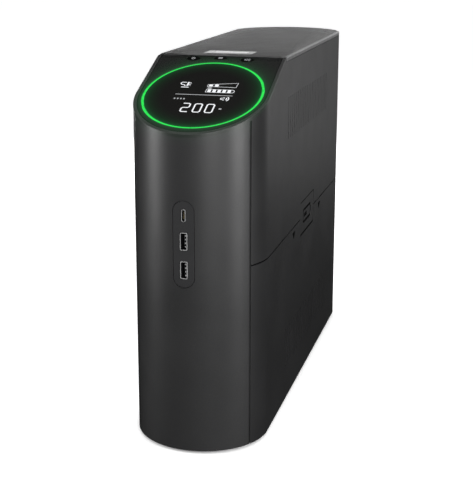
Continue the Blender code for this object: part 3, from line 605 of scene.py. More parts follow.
# The rim: a painted highlight where it faces up, and a painted glow of the ring's light
RIM = moulded("rim_plastic", (0.02, 0.02, 0.02), 0.4, painted_glow=(0.008, (0.0, 0.032, 0.007)),
        painted_light=painted_top_light)
STRIP = moulded("strip_plastic", (0.026, 0.026, 0.027), 0.48, contrast=0.08)
DARK = moulded("dark_plastic", (0.014, 0.014, 0.015), 0.42)
# Near-black and almost without shine: ink for the marks and the battery sign, and painted shade in
# the seams, badge gaps and behind the vents
INK_AND_PAINTED_SHADE = moulded("dark_ink_and_painted_shade", (0.0015, 0.0015, 0.0015), 0.8, contrast=0.05, specular=0.03)
BLACK = moulded("socket_plastic", (0.01, 0.01, 0.011), 0.38)
OUTLET = moulded("outlet_plastic", (0.03, 0.03, 0.031), 0.36)
KEY = moulded("key_plastic", (0.008, 0.009, 0.008), 0.22, depth=0.00001)
RUBBER = moulded("foot_rubber", (0.012, 0.012, 0.012), 0.85, grain=0.0006, depth=0.00005)
CASE = moulded("battery_case", (0.055, 0.055, 0.06), 0.5, grain=0.0012)
LEAD_RED = moulded("red_insulation", (0.42, 0.02, 0.015), 0.42)
WHITE = moulded("white_plastic", (0.55, 0.55, 0.52), 0.4, contrast=0.04)
BAR = moulded("plate_bar", (0.8, 0.8, 0.79), 0.35, contrast=0.03)
PLATE = metal("satin_plate", (0.13, 0.13, 0.13), 0.34, (1, 12, 1), 0.3)
BRIGHT = metal("nickel", (0.8, 0.8, 0.8), 0.36, (1, 8, 1), 0.45)
GOLD = metal("contact_gold", (0.85, 0.66, 0.32), 0.3, metallic=0.5)
BRASS = metal("brass", (0.72, 0.55, 0.24), 0.3, (1, 1, 6))
STEEL = metal("zinc_plated_steel", (0.5, 0.51, 0.53), 0.38, (1, 10, 1))
ALUMINIUM = metal("extruded_aluminium", (0.72, 0.73, 0.74), 0.36, (1, 0.05, 1))
BOARD = board_material("circuit_board")
COPPER = winding_material("copper_winding")
# The gloss panel and display glass, each with a painted glow of the ring's light
GLOSS = gloss_material("gloss_panel", (0.032, 0.033, 0.032), 0.0085, (0.002, 0.031, 0.008))
GLASS = gloss_material("display_glass", (0.019, 0.019, 0.018), 0.007, (0.0, 0.036, 0.008))
RING_GLOW = light_material("ring_diffuser", (0.034, 0.8, 0.1), 1.0)
SEGMENT = light_material("display_segment", (0.95, 0.97, 1.0), 0.95)
DIM_SEGMENT = light_material("display_segment_dim", (0.95, 0.97, 1.0), 0.4)
KEY_MARK = light_material("key_mark", (0.95, 0.97, 1.0), 0.38)


# ---- outer shells

def roof_cutter():
    """Everything above the covers: the slope under the rim, then level under the lid."""
    drop = RIM_THICKNESS + GAP
    near, far, above = FRONT - 0.01, REAR + 0.01, HEIGHT + 0.02
    line = [(y, z) for y, z in skin_profile(drop, drop, near, FACE_TOP_Y)[-14:]
            if z < SHELL_TOP - 0.0002]
    return side_prism("roof_cutter", line + [(FACE_TOP_Y, SHELL_TOP), (far, SHELL_TOP),
            (far, above), (near, above)], -0.2, 0.2)


def badge_cutter(side, sign):
    low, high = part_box(side + "_badge")
    grow = Vector((0, GAP, GAP))
    low, high = low - grow, high + grow
    low.x, high.x = sorted((sign * 0.04, sign * 0.06))
    return span_box(side + "_badge_hole", low, high)


def vent_cutter(sign, height):
    first, last = VENT_SPAN
    pitch = (last - first) / (VENT_COUNT - 1)
    return solid("vent_slots", [
        cube((0.02, *VENT_SIZE), (sign * HALF, first + pitch * number, height))
        for number in range(VENT_COUNT)])


def vent_screen_shade(node, sign, height):
    """A thin screen just behind a cover's vents, near-black as painted shade in the slots."""
    inner, outer = HALF - WALL - 0.0003, HALF - WALL - 0.0001
    near, far = sorted((sign * inner, sign * outer))
    reach, border = VENT_SIZE[1] / 2, 0.002
    return span_box(node + "_vent_screen_shade", (near, VENT_SPAN[0] - border, height - reach - border),
            (far, VENT_SPAN[1] + border, height + reach + border))


def mark_outline(grow=0.0):
    """A triangle that points down, with blunt corners."""
    width, height, blunt = 0.0108 + grow, 0.0064 + grow, 0.0006
    return [(-width / 2, height / 2 - blunt), (-width / 2 + blunt, height / 2),
            (width / 2 - blunt, height / 2), (width / 2, height / 2 - blunt),
            (blunt, -height / 2), (-blunt, -height / 2)]


def cover_marks(sign):
    """Where the two small triangles stand under the seam, as matrices on the side's face."""
    for y in (-0.0534, 0.0627):
        yield move((sign * HALF, y, SEAM_HEIGHT - 0.0076)) @ YZ_PLANE


def strip_size():
    """The socket strip's outside, a little slimmer than its node."""
    size = extent("port_panel")
    return Vector((size.x - STRIP_TRIM, size.y, size.z))


def shells():
    clear = SHUT_LINE / 2
    walls = [body_outline(0), body_outline(WALL)]
    near, above = FRONT - 0.01, HEIGHT + 0.02
    reach = FRONT_SEAM_X - clear
    strip = middle("port_panel")
    size = strip_size()

    front = level_prism("front_cover", walls, SHELL_BOTTOM, SHELL_TOP)
    keep(front, span_box("front_zone", (-reach, near, -0.01), (reach, FRONT_SHOULDER, above)))
    cut(front, rear_prism("strip_hole", [stadium(size.x + 2 * GAP, size.z + 2 * GAP)],
            near, FRONT + 0.008, (strip.x, strip.z)))
    soften(front, 0.0003, angle=40)
    cut(front, roof_cutter())
    dress(front, FRONT_SHELL, ["front_panel"])

    for side, sign in SIDES:
        zone_low = (sign * (FRONT_SEAM_X + clear), near, -0.01)
        zone_high = (sign * 0.12, REAR_SHOULDER - SHUT_LINE, above)
        # A lap lip behind the seam between the upper and lower covers, near-black as painted shade
        # in the gap
        lip = level_prism(side + "_lap_lip_painted_shade", [body_outline(LIP_SINK), body_outline(WALL)],
                SEAM_HEIGHT - SEAM_GAP / 2 + 0.0001, SEAM_HEIGHT + SEAM_GAP / 2 - 0.0001)
        keep(lip, span_box("zone", zone_low, zone_high))
        cut(lip, badge_cutter(side, sign))
        dress(lip, INK_AND_PAINTED_SHADE)
        for level, low, high in (("upper", SEAM_HEIGHT + SEAM_GAP / 2, SHELL_TOP),
                ("lower", SHELL_BOTTOM, SEAM_HEIGHT - SEAM_GAP / 2)):
            node, body = f"{side}_{level}_cover", "root"
            if (side, level) == ("right", "lower"):
                node, body = "battery_door", "door"
            cover = level_prism(node + "_shell", walls, low, high)
            keep(cover, span_box("zone", zone_low, zone_high))
            cut(cover, badge_cutter(side, sign))
            cut(cover, vent_cutter(sign, VENT_HEIGHTS[level]))
            if level == "lower":
                pocket = 0.0008
                cut(cover, *[prism("mark_pocket", [mark_outline(0.0002)], pocket, place)
                        for place in cover_marks(sign)])
            soften(cover, 0.00022)
            cut(cover, roof_cutter())
            dress(cover, SHELL, [node], body)
            # Painted shade behind the vent slots
            dress(vent_screen_shade(node, sign, VENT_HEIGHTS[level]), INK_AND_PAINTED_SHADE, body=body)
            if level == "lower":
                marks = [prism("mark", [mark_outline()], 0.0003,
                        move((-sign * 0.0002, 0, 0)) @ place)
                        for place in cover_marks(sign)]
                dress(gather(side + "_cover_marks", marks), INK_AND_PAINTED_SHADE, body=body)


def badges():
    """Side badges: a flush plate with a plain battery sign on it, and near-black strips in the gaps
    above and below it as painted shade.
    """
    for side, sign in SIDES:
        low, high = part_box(side + "_badge")
        size = high - low
        matrix = move((low + high) / 2) @ YZ_PLANE
        plate = prism(side + "_badge_plate", [rounded(size.y, size.z - 0.0022, 0.0008)], size.x,
                matrix)
        shift = move((sign * size.x / 2, 0, 0))
        length, height, line = 0.034, 0.0135, 0.0024
        outline = [rounded(length, height, 0.003),
                rounded(length - 2 * line, height - 2 * line, 0.0014)]
        shapes = [outline, [rounded(0.0022, 0.0052, 0.0008, (length / 2 + 0.0018, 0))],
                [rounded(0.013, 0.0036, 0.0008, (-0.006, 0))]]
        cut(plate, *[prism("sign_pocket", shape, 0.0008, shift @ matrix) for shape in shapes])
        soften(plate, 0.00015, angle=40)
        dress(plate, SHELL, [side + "_badge"])
        inward = move((sign * (size.x / 2 - 0.0003), 0, 0))
        fills = [prism("sign_fill", shape, 0.0002, inward @ matrix) for shape in shapes]
        # Painted shade: near-black strips in the gaps above and below the plate
        gap_shades = [span_box("gap", (sign * (HALF - 0.0014), low.y, height_low),
                (sign * (HALF - 0.0003), high.y, height_low + 0.0014))
                for height_low in (low.z - 0.0004, high.z - 0.001)]
        dress(gather(side + "_badge_sign_and_gap_shade", fills + gap_shades), INK_AND_PAINTED_SHADE)


def top_panel():
    """Lid with fine ribs that straighten towards the front, a plain border and a chamfer."""
    rib_pitch, rib_depth, border, chamfer = 0.0026, 0.0004, 0.0022, 0.0009
    inner = HALF - border
    inner_steps = 30
    columns = [-HALF, -HALF + chamfer, -inner]
    columns += [-inner + 0.0004 + (2 * inner - 0.0008) * step / inner_steps
            for step in range(inner_steps + 1)]
    columns += [inner, HALF - chamfer, HALF]
    length = REAR - LID_LOW.y
    rows = [(0.0, 0.0004), (0.0004, 0.0), (border, 0.0)]
    count = int((length - 2 * border) / rib_pitch)
    for number in range(count):
        start = border + rib_pitch * number
        rows += [(start + 0.25 * rib_pitch, 0.0), (start + 0.5 * rib_pitch, -rib_depth),
                (start + 0.75 * rib_pitch, 0.0)]
    rows += [(length - chamfer, 0.0), (length, chamfer)]

    build = bmesh.new()
    grid = []
    for along, drop in rows:
        line = []
        for number, x in enumerate(columns):
            y = LID_LOW.y + along / length * (rear_y(x) - LID_LOW.y)
            edge = number in (0, len(columns) - 1)
            ribbed = drop < 0 and 3 <= number < len(columns) - 3
            lower = chamfer if edge else (rib_depth if ribbed else max(drop, 0.0))
            line.append(build.verts.new((x, y, skin_height(y) - lower)))
        grid.append(line)
    for near, far in zip(grid, grid[1:]):
        for first in range(len(columns) - 1):
            build.faces.new((near[first], near[first + 1], far[first + 1], far[first]))
    rim = [edge for edge in build.edges if edge.is_boundary]
    lowered = bmesh.ops.extrude_edge_only(build, edges=rim)["geom"]
    for vertex in (item for item in lowered if isinstance(item, bmesh.types.BMVert)):
        vertex.co.z = LID_LOW.z
    bmesh.ops.holes_fill(build, edges=[edge for edge in build.edges if edge.is_boundary])
    bmesh.ops.recalc_face_normals(build, faces=build.faces)
    lid = bmesh_object("ribbed_top", build)

    low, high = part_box("top_plate")
    grow = Vector((GAP, GAP, 0.001))
    cut(lid, span_box("plate_pocket", low - grow, high + grow))
    dress(lid, TOP, ["top_panel"])

    size = high - low
    plate = level_prism("top_name_plate_blank", [rounded(size.x, size.y, 0.0012, (
        0, (low.y + high.y) / 2))], low.z, high.z - 0.0001)
    soften(plate, 0.00025, angle=40)
    dress(plate, PLATE, ["top_plate"])
    bar_depth = 0.0002
    bar = level_prism("top_plate_bar", [rounded(0.029, 0.012, 0.0015, (
        0.001, (low.y + high.y) / 2))], high.z - bar_depth, high.z)
    dress(bar, BAR)


# ---- display face

def face_layer(name, outlines, top, bottom):
    """A plan outline kept to the layer between two depths below the face."""
    piece = level_prism(name, outlines, 0.235, HEIGHT + 0.005)
    profile = skin_profile(top, bottom, FRONT - 0.01, FACE_TOP_Y - GAP)
    return keep(piece, side_prism("layer", profile, -0.2, 0.2))


def display_face():
    rim = face_layer("face_rim", [body_outline(0, 0), body_outline(RIM_WIDTH, 0)], 0,
            2 * RIM_THICKNESS)
    soften(rim, 0.0003, 3)
    below = skin_profile(RIM_THICKNESS + GAP, 4 * RIM_THICKNESS, FRONT - 0.01, FACE_TOP_Y)
    cut(rim, side_prism("below_rim", below, -0.2, 0.2))
    dress(rim, RIM, ["display_bezel"])

    panel = face_layer("gloss_panel", [body_outline(RIM_WIDTH + GAP, 0)], FACE_SINK,
            FACE_SINK + FACE_THICKNESS)
    ring_outer = RING_RADIUS + RING_WIDTH / 2
    ring_inner = RING_RADIUS - RING_WIDTH / 2
    clear = 0.0003
    holes = [face_prism("ring_hole", [circle(ring_outer + clear, 160)], -0.01, 0.01)]
    for name in ("power_button", "menu_button", "mute_button"):
        holes.append(face_prism("key_hole", [oval(*key_size(name, 4 * GAP))], -0.01, 0.01,
                face_place(middle(name))[:2]))
    cut(panel, *holes)
    top_edge = face_place(Vector((0, FACE_TOP_Y, HEIGHT)))[1]
    for sign in (-1, 1):
        notches = [face_prism("notch", [rounded(0.017, 0.006, 0.001)], -0.01, FACE_SINK + 0.0008,
                (sign * 0.0405, top_edge - 0.0005)),
                face_prism("notch", [rounded(0.009, 0.011, 0.0012)], -0.01, FACE_SINK + 0.0014,
                (sign * 0.045, top_edge))]
        cut(panel, *notches)
    soften(panel, 0.0002)
    dress(panel, GLOSS, ["control_panel"])

    window = face_prism("display_glass", [circle(ring_inner - clear, 160)], FACE_SINK,
            FACE_SINK + FACE_THICKNESS)
    soften(window, 0.0002)
    dress(window, GLASS, ["display_window"])

    ring = face_prism("ring_diffuser", [circle(ring_outer, 160), circle(ring_inner, 160)],
            RING_SINK, FACE_SINK + FACE_THICKNESS)
    soften(ring, 0.0005, 3)
    dress(ring, RING_GLOW, ["ring_light"])


def key_size(name, grow=0.0):
    """Width and length of an oval key on the face, from its node's box."""
    size = extent(name)
    thickness = 0.004
    length = (size.y - thickness * sin(LEAN)) / cos(LEAN)
    return size.x + grow, length + grow


def stroke(points, width, closed=False):
    """A round-ended line on the face, given in millimetres and kept in metres."""
    return [(x / 1000, y / 1000) for x, y in points], width / 1000, closed


def draw(name, strokes, material, body="root", depth=FACE_SINK):
    """Thin printed or lit lines lying on the face at a depth below its flat."""
    curve = bpy.data.curves.new(name, "CURVE")
    curve.dimensions = "3D"
    curve.bevel_depth = 0.5
    curve.bevel_resolution = 3
    curve.use_fill_caps = True
    for points, width, closed in strokes:
        spline = curve.splines.new("POLY")
        spline.points.add(len(points) - 1)
        for point, (across, up) in zip(spline.points, points):
            point.co = (across, up, 0, 1)
            point.radius = width
        spline.use_cyclic_u = closed
    mesh = mesh_from_curve(name, curve)
    thickness = 0.00005
    widest = max(abs(vertex.co.z) for vertex in mesh.vertices)
    mesh.transform(Matrix.Diagonal((1, 1, thickness / widest, 1)))
    item = new_object(name, mesh, FACE @ move((0, 0, -depth + 0.00008)))
    dress(item, material, body=body)


def arc(radius, start, end, centre=(0, 0)):
    steps = 14
    turns = [radians(start + (end - start) * step / steps) for step in range(steps + 1)]
    return [(centre[0] + radius * cos(turn), centre[1] + radius * sin(turn))
            for turn in turns]


def keys():
    """Three oval keys with a lit mark on each, which ride on the keys' own bodies."""
    marks = {
        "power_button": ("power_key", [stroke(arc(1.3, 125, 415), 0.5),
            stroke([(0, 0.4), (0, 1.8)], 0.5)]),
        "menu_button": ("menu_key", [stroke([(-1.8, rise), (1.8, rise)], 0.45)
            for rise in (-0.8, 0, 0.8)]),
        "mute_button": ("mute_key", [stroke([(-2, -0.6), (-2, 0.6), (-1, 0.6),
            (0.1, 1.4), (0.1, -1.4), (-1, -0.6)], 0.5, True),
            stroke(arc(1.4, -50, 50), 0.4), stroke(arc(2.4, -45, 45), 0.4)]),
    }
    for name, (body, strokes) in marks.items():
        across, up, depth = face_place(middle(name))
        top = depth - 0.002
        key = face_prism(name + "_cap", [oval(*key_size(name))], top, depth + 0.002, (across, up))
        dish = solid("dish", [rod(0.03, 0.06, (0, 0, 0.03), "X", 128)],
                FACE @ move((across, up, -top - 0.0002)))
        cut(key, dish)
        soften(key, 0.0003, 3)
        dress(key, KEY, [name], body)
        placed = [([(across + x, up + y) for x, y in points], width, closed)
                for points, width, closed in strokes]
        draw(name + "_mark", placed, KEY_MARK, body, top + 0.0001)


def filled(left, right, low, high):
    """Rows of strokes side by side that fill a rectangle."""
    width = 1.1
    count = max(2, round((high - low) / (0.8 * width)) + 1)
    rows = [low + (high - low) * row / (count - 1) for row in range(count)]
    return [stroke([(left, row), (right, row)], width) for row in rows]


def display_content():
    """What the screen shows: two bars, a plug, a speaker, a line and a number."""
    bars = [stroke([(0.9, 11), (24.6, 10.7), (25, 17.4), (0.9, 13.8)], 0.5, True)]
    bars += filled(2, 5, 11.9, 13.3) + filled(6.8, 9.8, 11.8, 13.9)
    charge_low, charge_high, charge_left, charge_end = 2.6, 6.8, 1.4, 22.5
    tip = arc((charge_high - charge_low) / 2, -90, 90, (charge_end, (charge_low + charge_high) / 2))
    bars.append(stroke([(charge_left, charge_high), (charge_left, charge_low)] + tip, 0.5, True))
    for number in range(5):
        start = charge_left + 1.4 + 4.1 * number
        bars += filled(start, start + 2.6, charge_low + 0.8, charge_high - 0.8)
    draw("charge_and_load_bars", bars, SEGMENT)

    plug = [stroke([(-17.6, 16), (-21.2, 16), (-22.1, 14.4), (-21.1, 12.8),
            (-18.6, 12.2), (-17.6, 10.6)], 0.9),
            stroke([(-20.4, 8.8), (-14.2, 8.8)], 1)]
    plug += filled(-16.6, -15.2, 11.4, 16)
    plug += [stroke([(-15, row), (-13.4, row)], 0.9) for row in (12.4, 15.2)]
    draw("plug_symbol", plug, SEGMENT)

    speaker = [stroke([(16.4, -7.2), (16.4, -5.4), (17.6, -5.4), (19, -4.2),
            (19, -8.4), (17.6, -7.2)], 0.8, True)]
    speaker += [stroke(arc(radius, -50, 50, (19.2, -6.3)), 0.8) for radius in (2, 3.6)]
    draw("speaker_symbol", speaker, SEGMENT)

    dim = [stroke([(-22, -1.9), (24.8, -1.6)], 0.7)] + filled(1.8, 5, 8.2, 9.2)
    dim += [stroke([(-21.4 + 2.6 * number, -8.3), (-20.2 + 2.6 * number, -8.3)], 1.8)
            for number in range(4)]
    dim.append(stroke([(18.6, -20.8), (20.6, -20.8)], 1.6))
    draw("small_dashes", dim, DIM_SEGMENT)
    number_on_screen()


def number_on_screen():
    """A seven-segment style reading of 200."""
    width, height, corner = 5.8, 11.8, 1.1
    base, start, pitch = -26.6, -11.3, 9.8
    two = [(0, height), (width - corner, height), (width, height - corner),
            (width, height / 2 + corner), (width - corner, height / 2), (corner, height / 2),
            (0, height / 2 - corner), (0, corner), (corner, 0), (width, 0)]
    nought = [(corner, 0), (width - corner, 0), (width, corner), (width, height - corner),
            (width - corner, height), (corner, height), (0, height - corner), (0, corner)]
    strokes = []
    for place, (shape, closed) in enumerate(((two, False), (nought, True), (nought, True))):
        points = [(start + pitch * place + x, base + y) for x, y in shape]
        strokes.append(stroke(points, 1.2, closed))
    draw("number_on_screen", strokes, SEGMENT)


# ---- front ports

def socket_size(node):
    """A socket's outside as it looks from the front, a little slimmer than its node."""
    size = extent(node)
    share = USB_C_SHARE if node == "usb_c_socket" else USB_A_SHARE
    return Vector((size.x * share, size.y, size.z - SOCKET_TRIM))


def front_ports():
    """The strip, and in it each socket's metal sleeve, tongue and contacts, with a black lining
    inside the sleeve as painted shade.
    """
    strip, size = middle("port_panel"), strip_size()
    low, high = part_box("port_panel")
    slack = 0.0001
    holes, sockets = [], []
    for node, corner, wall in (("usb_c_socket", 0.0019, 0.0004),
            ("upper_usb_socket", 0.0009, 0.0006), ("lower_usb_socket", 0.0009, 0.0006)):
        reach = socket_size(node)
        corner = min(corner, reach.x / 2 - slack)
        sockets.append((node, reach, corner, wall))
        holes.append(rounded(reach.x + 2 * GAP, reach.z + 2 * GAP, corner + GAP,
                (0, middle(node).z - strip.z)))
    panel = rear_prism("port_strip", [stadium(size.x, size.z)] + holes, low.y, high.y,
            (strip.x, strip.z))
    soften(panel, 0.0003, angle=40)
    dress(panel, STRIP, ["port_panel"])

    for node, reach, corner, wall in sockets:
        usb_c = node == "usb_c_socket"
        x, _, z = middle(node)
        start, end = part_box(node)[0].y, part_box(node)[1].y
        least, lip = 0.0002, 0.6 * wall

        def inside(by, clear=0.0):
            return rounded(reach.x - 2 * by - clear, reach.z - 2 * by - clear,
                    max(corner - by, least))

        sleeve = rear_prism(node + "_shell", [rounded(reach.x, reach.z, corner), inside(lip)],
                start, end, (x, z))
        soften(sleeve, 0.00012)
        dress(sleeve, BRIGHT, [node])
        back = rear_prism(node + "_back", [rounded(reach.x - 2 * wall - slack,
                reach.z - 2 * wall - slack, least)], end - 0.0022, end - 0.0002, (x, z))
        width, length, offset = (0.0007, 0.0064, 0.0) if usb_c else (0.0017, 0.0108, 0.0009)
        tongue = rear_prism(node + "_tongue_body", [rounded(width, length, least)],
                start + 0.0016, end - 0.001, (x + offset, z))
        # Painted shade: a black lining inside the sleeve, just behind its lip
        shade_lining = rear_prism(node + "_shade_lining", [inside(lip, slack), inside(wall)],
                start + 0.0003, end - 0.0022, (x, z))
        dress(gather(node + "_tongue", [back, tongue, shade_lining]), BLACK)
        count, pad_height = (6, 0.0005) if usb_c else (4, 0.0011)
        pitch = (length - 0.002) / (count - 1)
        pad = Vector((width * 0.55, 0.0002, pad_height))
        pads = [solid("pad", [cube(pad, (x + offset + width * 0.2, start + 0.0015,
                z + pitch * (number - (count - 1) / 2)))]) for number in range(count)]
        dress(gather(node + "_contacts", pads), GOLD if usb_c else BRIGHT)


# ---- rear

def rear_shell():
    """Hood, foot and curved fins at the back, with every edge rounded."""
    low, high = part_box("rear_frame")
    recess_low, recess_high = 0.024, 0.278
    side = HALF - WALL - 0.0003
    step_y = REAR_SHOULDER - 0.0003
    wall, ahead, far = WALL + 0.0005, low.y - 0.01, REAR + 0.01
    post, flange, mouth = 0.0492, 0.042, 0.0455
    panel_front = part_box("outlet_panel")[0].y - 0.0003
    outline = ([(-side, low.y), (-side, step_y)] + rear_arc(0) + [(side, step_y), (side, low.y)])
    shell = level_prism("rear_shell", [outline], low.z, high.z)
    recess = [(-post, panel_front)] + rear_arc(wall)[1:-1] + [(post, panel_front)]
    cut(shell, level_prism("recess", [recess], recess_low, recess_high),
        span_box("mouth", (-mouth, REAR_SHOULDER, recess_low), (mouth, far, recess_high)),
        span_box("recess_front", (-flange, ahead, recess_low),
            (flange, panel_front + 0.001, recess_high)))
    for name, bottom, top in (("foot_hollow", low.z + wall, recess_low - wall),
            ("hood_hollow", recess_high + wall, high.z - wall)):
        hollow = [(wall - side, ahead)] + rear_arc(wall)[1:-1] + [(side - wall, ahead)]
        cut(shell, level_prism(name, [hollow], bottom, top))
    soften(shell, 0.0005)
    dress(shell, SHELL, ["rear_frame"])


def outlet_face(size):
    """One outlet's outline and holes: two blade slots and a half-round earth hole."""
    blade_reach, blade_rise, earth_drop = 0.0064, 0.0035, 0.0065
    earth = [(0.0026 * cos(turn), 0.0026 * sin(turn) - earth_drop)
            for turn in [pi * (1 + step / 16) for step in range(17)]]
    earth += [(0.0026, 0.0012 - earth_drop), (-0.0026, 0.0012 - earth_drop)]
    return [rounded(size[0], size[1], 0.003),
            rounded(0.0022, 0.0084, 0.0004, (blade_reach, blade_rise)),
            rounded(0.0022, 0.0068, 0.0004, (-blade_reach, blade_rise)), earth]


def outlet_banks():
    size, columns = (0.033, 0.027), (-0.023, 0.023)
    for node, rows in (("battery_outlets", (0.174, 0.207, 0.24)),
            ("surge_outlets", (0.108, 0.141))):
        low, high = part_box(node)
        faces, collars = [], []
        for x in columns:
            for z in rows:
                face = rear_prism("outlet", outlet_face(size), low.y, high.y - 0.0004, (x, z))
                faces.append(soften(face, 0.0004))
                collar = rear_prism("collar", [rounded(size[0], size[1], 0.003),
                        rounded(size[0] - 0.003, size[1] - 0.003, 0.0018)],
                        high.y - 0.0003, high.y, (x, z))
                collars.append(soften(collar, 0.0001, 1))
        dress(gather(node + "_faces", faces + collars), OUTLET, [node])


def rear_sockets():
    """Panel, inlet, breaker, network pair and data port."""
    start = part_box("outlet_panel")[1].y
    lines = [rear_prism("line", [rounded(0.09, 0.0008, 0.0003)], start, start + 0.0004, (0, z))
            for z in (0.085, 0.1575, 0.2555)]
    dress(gather("panel_divider_lines", lines), STRIP)

    low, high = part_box("power_inlet")
    x, _, z = middle("power_inlet")
    half = [(0.0113, 0.0081), (0.0113, -0.0046), (0.0078, -0.0081)]
    pocket = [(-across, up) for across, up in half] + half[::-1]
    body = rear_prism("inlet_body", [rounded(0.027, 0.0205, 0.0012)], low.y, high.y - 0.0021,
            (x, z))
    flange = rear_prism("inlet_flange", [rounded(high.x - low.x, high.z - low.z, 0.003)],
            high.y - 0.0022, high.y, (x, z))
    combine(body, "UNION", [flange])
    cut(body, rear_prism("pocket", [pocket], high.y - 0.019, high.y + 0.005, (x, z)))
    soften(body, 0.0004)
    dress(body, BLACK, ["power_inlet"])
    blades = [solid("blade", [cube((0.004, 0.015, 0.002), (x + dx, high.y - 0.0115, z + dz))])
            for dx, dz in ((-0.007, -0.003), (0.007, -0.003), (0.0, 0.0005))]
    dress(soften(gather("inlet_blade_set", blades), 0.0004, angle=40), BRIGHT)

    low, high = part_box("breaker_button")
    cap = solid("breaker_cap", [rod((high.x - low.x) / 2, high.y - low.y, (0, 0, 0), "Y", 64)],
            move(middle("breaker_button")))
    soften(cap, 0.0006, 3)
    dress(cap, WHITE, ["breaker_button"], "breaker_reset")

    for node, offsets in (("network_jacks", (-0.01, 0.01)), ("data_port", (0.0,))):
        centre, (low, high) = middle(node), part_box(node)
        block = rear_prism(node + "_block", [rounded(high.x - low.x, high.z - low.z, 0.0006)],
                low.y, high.y, (centre.x, centre.z))
        hollows = []
        for dx in offsets:
            place = (centre.x + dx, centre.z)
            hollows.append(rear_prism("hollow", [rounded(0.012, 0.0086, 0.0003, (0, 0.0006))],
                    high.y - 0.013, high.y + 0.002, place))
            hollows.append(rear_prism("latch", [rounded(0.004, 0.004, 0.0003, (0, -0.0045))],
                    high.y - 0.012, high.y + 0.002, place))
        cut(block, *hollows)
        soften(block, 0.00025)
        dress(block, BLACK, [node])
        pins = [solid("pin", [cube((0.0004, 0.009, 0.0003),
                (centre.x + dx + 0.001 * (number - 3.5), high.y - 0.0075, centre.z + 0.0046))])
                for dx in offsets for number in range(8)]
        dress(gather(node + "_pins", pins), GOLD)


# ---- works behind the battery door

def batteries():
    """Sealed lead-acid blocks: case, lid seam and vent caps."""
    for node in ("lower_battery", "upper_battery"):
        low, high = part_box(node)
        case = span_box(node + "_case", low, high)
        seam_x, line, beyond = high.x - 0.012, 0.001, 0.01
        groove = solid("groove", [cube((line, high.y - low.y + beyond, line),
                (seam_x, (low.y + high.y) / 2, z)) for z in (low.z, high.z)])
        sides = solid("groove_sides", [cube((line, line, high.z - low.z + beyond),
                (seam_x, y, (low.z + high.z) / 2)) for y in (low.y, high.y)])
        cut(case, groove, sides)
        radius, depth, first, pitch = 0.005, 0.0012, 0.03, 0.018
        cut(case, solid("caps", [rod(radius, depth, (high.x, low.y + first + pitch * number,
                (low.z + high.z) / 2), "X") for number in range(6)]))
        soften(case, 0.001, 3)
        dress(case, CASE, [node])


def carried_over():
    """Gives every CAD node that stays in view its material."""
    finishes = {
        BOARD: "ring_led_board control_board usb_board main_board",
        BLACK: "lcd_module base_tray battery_connector breaker_body fan_frame fan_rotor",
        DARK: "outlet_panel",
        RUBBER: "front_left_foot front_right_foot rear_left_foot rear_right_foot black_lead "
            "link_lead",
        LEAD_RED: "red_lead",
        STEEL: "battery_bay transformer_core panel_screw_1 panel_screw_2 panel_screw_3 "
            "panel_screw_4",
        BRASS: "live_bus_bar neutral_bus_bar earth_bus_bar",
        ALUMINIUM: "left_heat_sink right_heat_sink",
        COPPER: "transformer_coils choke_coil",
    }
    for material, names in finishes.items():
        for name in names.split():
            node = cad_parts[name]
            node.data.materials.clear()
            node.data.materials.append(material)


# ---- studio

def panel_light(name, azimuth, elevation, distance, size, power):
    """A soft box that faces the object. Azimuth 0 is in front and 90 on the right."""
    light = bpy.data.lights.new(name, "AREA")
    light.shape = "RECTANGLE"
    light.size, light.size_y = size
    light.energy = power
    item = new_object(name, light)
    turn, rise = radians(azimuth), radians(elevation)
    away = Vector((sin(turn) * cos(rise), -cos(turn) * cos(rise),
            sin(rise)))
    item.location = Vector((0, 0, HEIGHT / 2)) + away * distance
    item.rotation_euler = away.to_track_quat("Z", "Y").to_euler()


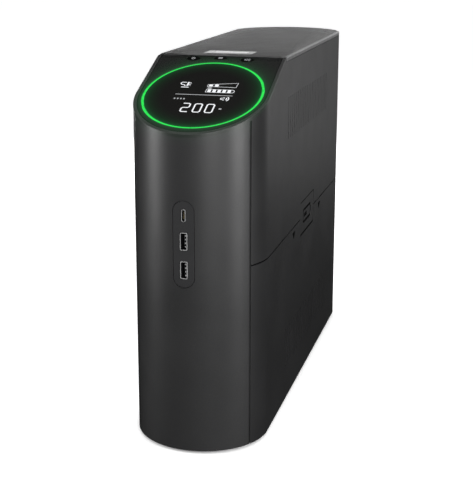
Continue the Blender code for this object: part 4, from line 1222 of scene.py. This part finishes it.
def studio():
    """Pale floor with a painted contact shadow, backdrop, soft light, and the camera."""
    contact_shadow = 0.02
    ground = Nodes("pale_floor")
    # Painted shadow: the floor's emission is darkened by occlusion near the object
    corner = ground.add("AmbientOcclusion", Distance=contact_shadow)
    ground.set(Base_Color=(0.9, 0.9, 0.9, 1), Roughness=0.9,
            Emission_Color=corner.outputs["Color"], Emission_Strength=1.0)
    floor = solid("floor", [rod(6.0, 0.02, (0, 0, -0.0101), steps=96)])
    floor.data.materials.append(ground.material)
    floor.visible_diffuse = False
    floor.visible_glossy = False

    paper = Nodes("white_paper")
    paper.set(Base_Color=(0, 0, 0, 1), Emission_Color=(1, 1, 1, 1), Emission_Strength=1.2)
    backdrop = solid("backdrop", [rod(5.9, 12.0, steps=96)])
    backdrop.data.materials.append(paper.material)
    for ray in ("diffuse", "glossy", "transmission", "shadow", "volume_scatter"):
        setattr(backdrop, "visible_" + ray, False)

    scene = bpy.context.scene
    scene.world = world = bpy.data.worlds.new("studio")
    world.use_nodes = True
    sky = world.node_tree.nodes["Background"].inputs
    sky["Color"].default_value = (1, 1, 1, 1)
    sky["Strength"].default_value = 0.005

    for light in LIGHTS:
        panel_light(*light)

    downward, turn = 0.2354, 0.273
    camera = bpy.data.cameras.new("camera")
    camera.lens = 81.1
    camera.sensor_width = 36.0
    camera.shift_x = 0.0196
    camera.shift_y = -0.1
    camera.clip_start, camera.clip_end = 0.05, 30.0
    item = new_object("camera", camera)
    item.location = (0.249, -0.9655, 0.4066)
    item.rotation_euler = (radians(90) - downward, 0, turn)
    scene.camera = item
    scene.view_settings.view_transform = "Standard"


# Name, azimuth, elevation, distance, size and power, in degrees, metres and watts
LIGHTS = (
    ("right_box", 65, 8, 1.1, (0.35, 0.7), 8.6),
    ("left_box", -60, 8, 1.1, (0.35, 0.7), 7.0),
    ("front_box", 25, 14, 1.3, (0.5, 0.7), 9.2),
    ("rear_box", -172, 22, 1.1, (0.6, 0.35), 1.5),
    ("right_rear_top_box", 150, 30, 1.1, (0.6, 0.4), 0.9),
    ("right_rear_box", 150, 8, 1.1, (0.35, 0.7), 0.8),
    ("edge_box", 168, 15, 1.4, (0.3, 0.3), 0.45),
    ("left_rear_box", -150, 2, 1.2, (0.6, 0.3), 6.0),
)

shells()
badges()
top_panel()
display_face()
keys()
display_content()
front_ports()
rear_shell()
outlet_banks()
rear_sockets()
batteries()
carried_over()
studio()
